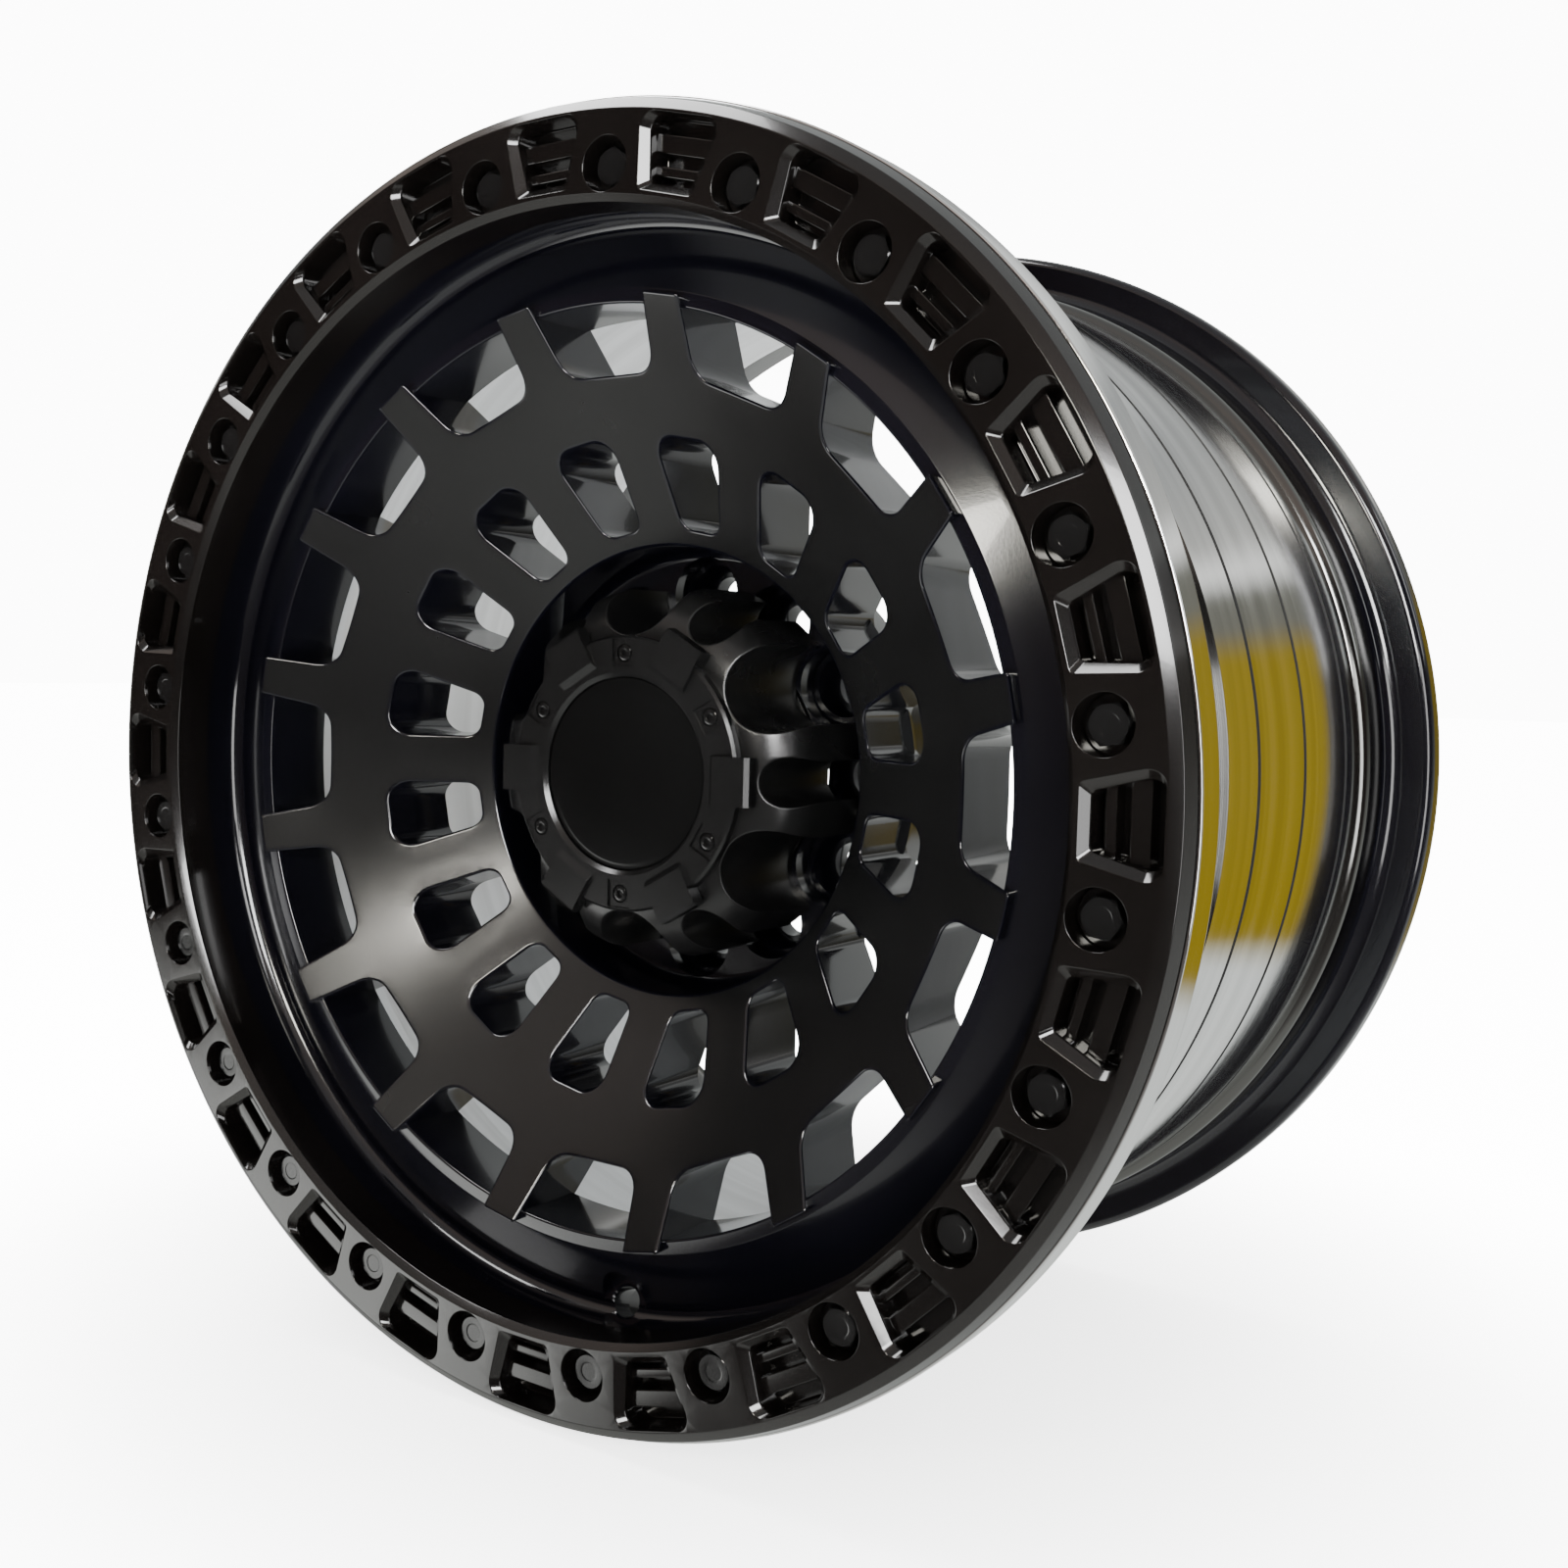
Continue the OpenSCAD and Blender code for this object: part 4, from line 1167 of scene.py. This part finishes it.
# Shades of the mirrored room from below to above, in front of the wheel and behind it,
# and the range of direction Y over which one turns into the other
FRONT_ROOM = (
    (-0.7, (0.60, 0.61, 0.58)),
    (-0.58, (0.24, 0.23, 0.22)),
    (-0.35, (0.10, 0.09, 0.085)),
    (-0.05, (0.05, 0.04, 0.035)),
    (0.2, (0.06, 0.04, 0.035)),
    (0.45, (0.02, 0.02, 0.02)),
    (0.6, (0.55, 0.46, 0.41)),
    (1.0, (0.40, 0.40, 0.40)),
)
REAR_ROOM = (
    (-1.0, (0.62, 0.64, 0.62)),
    (-0.30, (0.66, 0.68, 0.66)),
    (0.15, (0.14, 0.14, 0.12)),
    (0.235, (0.13, 0.13, 0.11)),
    (0.265, (0.95, 0.95, 0.92)),
    (0.30, (0.42, 0.42, 0.40)),
    (0.40, (0.30, 0.31, 0.31)),
    (0.44, (0.90, 0.92, 0.90)),
    (0.50, (0.62, 0.65, 0.64)),
    (1.0, (0.55, 0.57, 0.57)),
)
ROOM_BLEND = (0.12, 0.4)


def make_camera():
    """The camera at the photograph's viewing angle."""
    data = bpy.data.cameras.new("camera")
    data.lens, data.sensor_width = CAMERA_LENS, 36.0
    data.shift_x = CAMERA_SHIFT
    data.clip_start, data.clip_end = 0.02, 40.0
    camera = in_scene("camera", data)
    turn = (
        Matrix.Rotation(CAMERA_YAW, 4, "Z")
        @ Matrix.Rotation(CAMERA_PITCH, 4, "X")
        @ Matrix.Rotation(CAMERA_ROLL, 4, "Y")
        @ Matrix.Rotation(math.radians(90), 4, "X")
    )
    camera.matrix_world = Matrix.Translation(CAMERA_PLACE) @ turn
    bpy.context.scene.camera = camera


def make_light(name, spot, size, power, colour):
    """A soft rectangular light aimed at the wheel."""
    data = bpy.data.lights.new(name, "AREA")
    data.shape = "RECTANGLE"
    data.size, data.size_y = size
    data.energy = power
    data.color = colour
    light = in_scene(name, data)
    light.location = spot
    light.rotation_euler = (-Vector(spot)).to_track_quat("-Z", "Y").to_euler()


def make_floor():
    """A pale glowing floor under the wheel, its glow dimmed near the wheel as a painted shadow."""
    material = bpy.data.materials.new("pale_floor_painted_shadow")
    material.use_nodes = True
    tree = material.node_tree
    away = tree.nodes.new("ShaderNodeVectorMath")
    away.operation = "LENGTH"
    tree.links.new(object_place(tree), away.inputs[0])
    # Painted shadow: the floor's glow is weakest close to the wheel and rises to full white
    # further out
    shadow_glow = map_range(tree, away.outputs["Value"], PAINTED_SHADOW_REACH, (PAINTED_SHADOW_GLOW, WHITE))
    shadow_glow.node.interpolation_type = "SMOOTHSTEP"
    shader = tree.nodes["Principled BSDF"]
    for label, value in (
        ("Base Color", (0.93, 0.93, 0.93, 1.0)),
        ("Roughness", 0.9),
        ("Specular IOR Level", 0.0),
        ("Emission Color", (1.0, 1.0, 1.0, 1.0)),
        ("Emission Strength", shadow_glow),
    ):
        feed(tree, shader.inputs[label], value)
    data = bpy.data.meshes.new("floor")
    half, low = FLOOR_HALF, CAD_BOX[0][2]
    corners = [(-half, -half, low), (half, -half, low), (half, half, low), (-half, half, low)]
    data.from_pydata(corners, [], [(0, 1, 2, 3)])
    data.materials.append(material)
    floor = in_scene("floor", data)
    floor.visible_glossy = False


def shade_ramp(tree, value, stops):
    """A colour ramp with the given stops, each a height from -1 to 1 and a colour."""
    ramp = tree.nodes.new("ShaderNodeValToRGB")
    tree.links.new(value, ramp.inputs["Fac"])
    elements = ramp.color_ramp.elements
    while len(elements) < len(stops):
        elements.new(0.5)
    for element, (height, colour) in zip(elements, stops):
        element.position = (height + 1) / 2
        element.color = (*colour, 1.0)
    return ramp.outputs["Color"]


def window_of(tree, value, low, high, soft):
    """1 where a value lies between two limits, with soft ends."""
    rise = map_range(tree, value, (low - soft, low + soft))
    fall = map_range(tree, value, (high + soft, high - soft))
    return math_node(tree, "MULTIPLY", rise, fall)


def with_board(tree, split, shade, colour, soft, limits):
    """The mirrored shade with one board in front of it."""
    cover = 1.0
    for axis, (low, high) in zip("XYZ", limits):
        side = window_of(tree, split.outputs[axis], low, high, soft)
        cover = math_node(tree, "MULTIPLY", side, cover)
    return mix_node(tree, cover, shade, (*colour, 1.0))


def mirrored_room(tree):
    """What the wheel mirrors: a dim warm room in front, a paler one with a yellow board behind."""
    split = tree.nodes.new("ShaderNodeSeparateXYZ")
    tree.links.new(object_place(tree), split.inputs[0])
    height = math_node(tree, "MULTIPLY_ADD", split.outputs["Z"], 0.5, 0.5)
    behind = map_range(tree, split.outputs["Y"], ROOM_BLEND)
    front, rear = (shade_ramp(tree, height, stops) for stops in (FRONT_ROOM, REAR_ROOM))
    shade = mix_node(tree, behind, front, rear)
    for colour, soft, *limits in BOARDS:
        shade = with_board(tree, split, shade, colour, soft, limits)
    return shade


def background(tree, colour, strength):
    """One light of the world; the colour is a socket or a constant."""
    node = tree.nodes.new("ShaderNodeBackground")
    feed(tree, node.inputs["Color"], colour)
    node.inputs["Strength"].default_value = strength
    return node.outputs[0]


def make_world():
    """A pale studio that looks white, lights softly, and mirrors as a dim room."""
    world = bpy.data.worlds.new("studio")
    world.use_nodes = True
    tree = world.node_tree
    tree.nodes.remove(tree.nodes["Background"])
    rays = tree.nodes.new("ShaderNodeLightPath")
    white = (1.0, 1.0, 1.0, 1.0)
    shade = background(tree, white, SOFT_LIGHT)
    mirror = background(tree, mirrored_room(tree), MIRROR_LIGHT)
    backdrop = background(tree, white, WHITE)
    for name, layer in (("Is Glossy Ray", mirror), ("Is Camera Ray", backdrop)):
        mix = tree.nodes.new("ShaderNodeMixShader")
        for socket, value in zip(mix.inputs, (rays.outputs[name], shade, layer)):
            tree.links.new(value, socket)
        shade = mix.outputs[0]
    tree.links.new(shade, tree.nodes["World Output"].inputs["Surface"])
    bpy.context.scene.world = world


def make_studio():
    """Floor, world, lights and camera."""
    make_floor()
    make_world()
    for light in LIGHTS:
        make_light(*light)
    make_camera()


looks = make_finishes()
make_casting(looks)
make_ring(looks)
fasteners = fastener_circle_tree()
make_bolts(looks, fasteners)
make_cap(looks)
make_trim(looks)
make_badge(looks)
make_cap_screws(looks, fasteners)
make_studio()

bpy.context.view_layer.update()
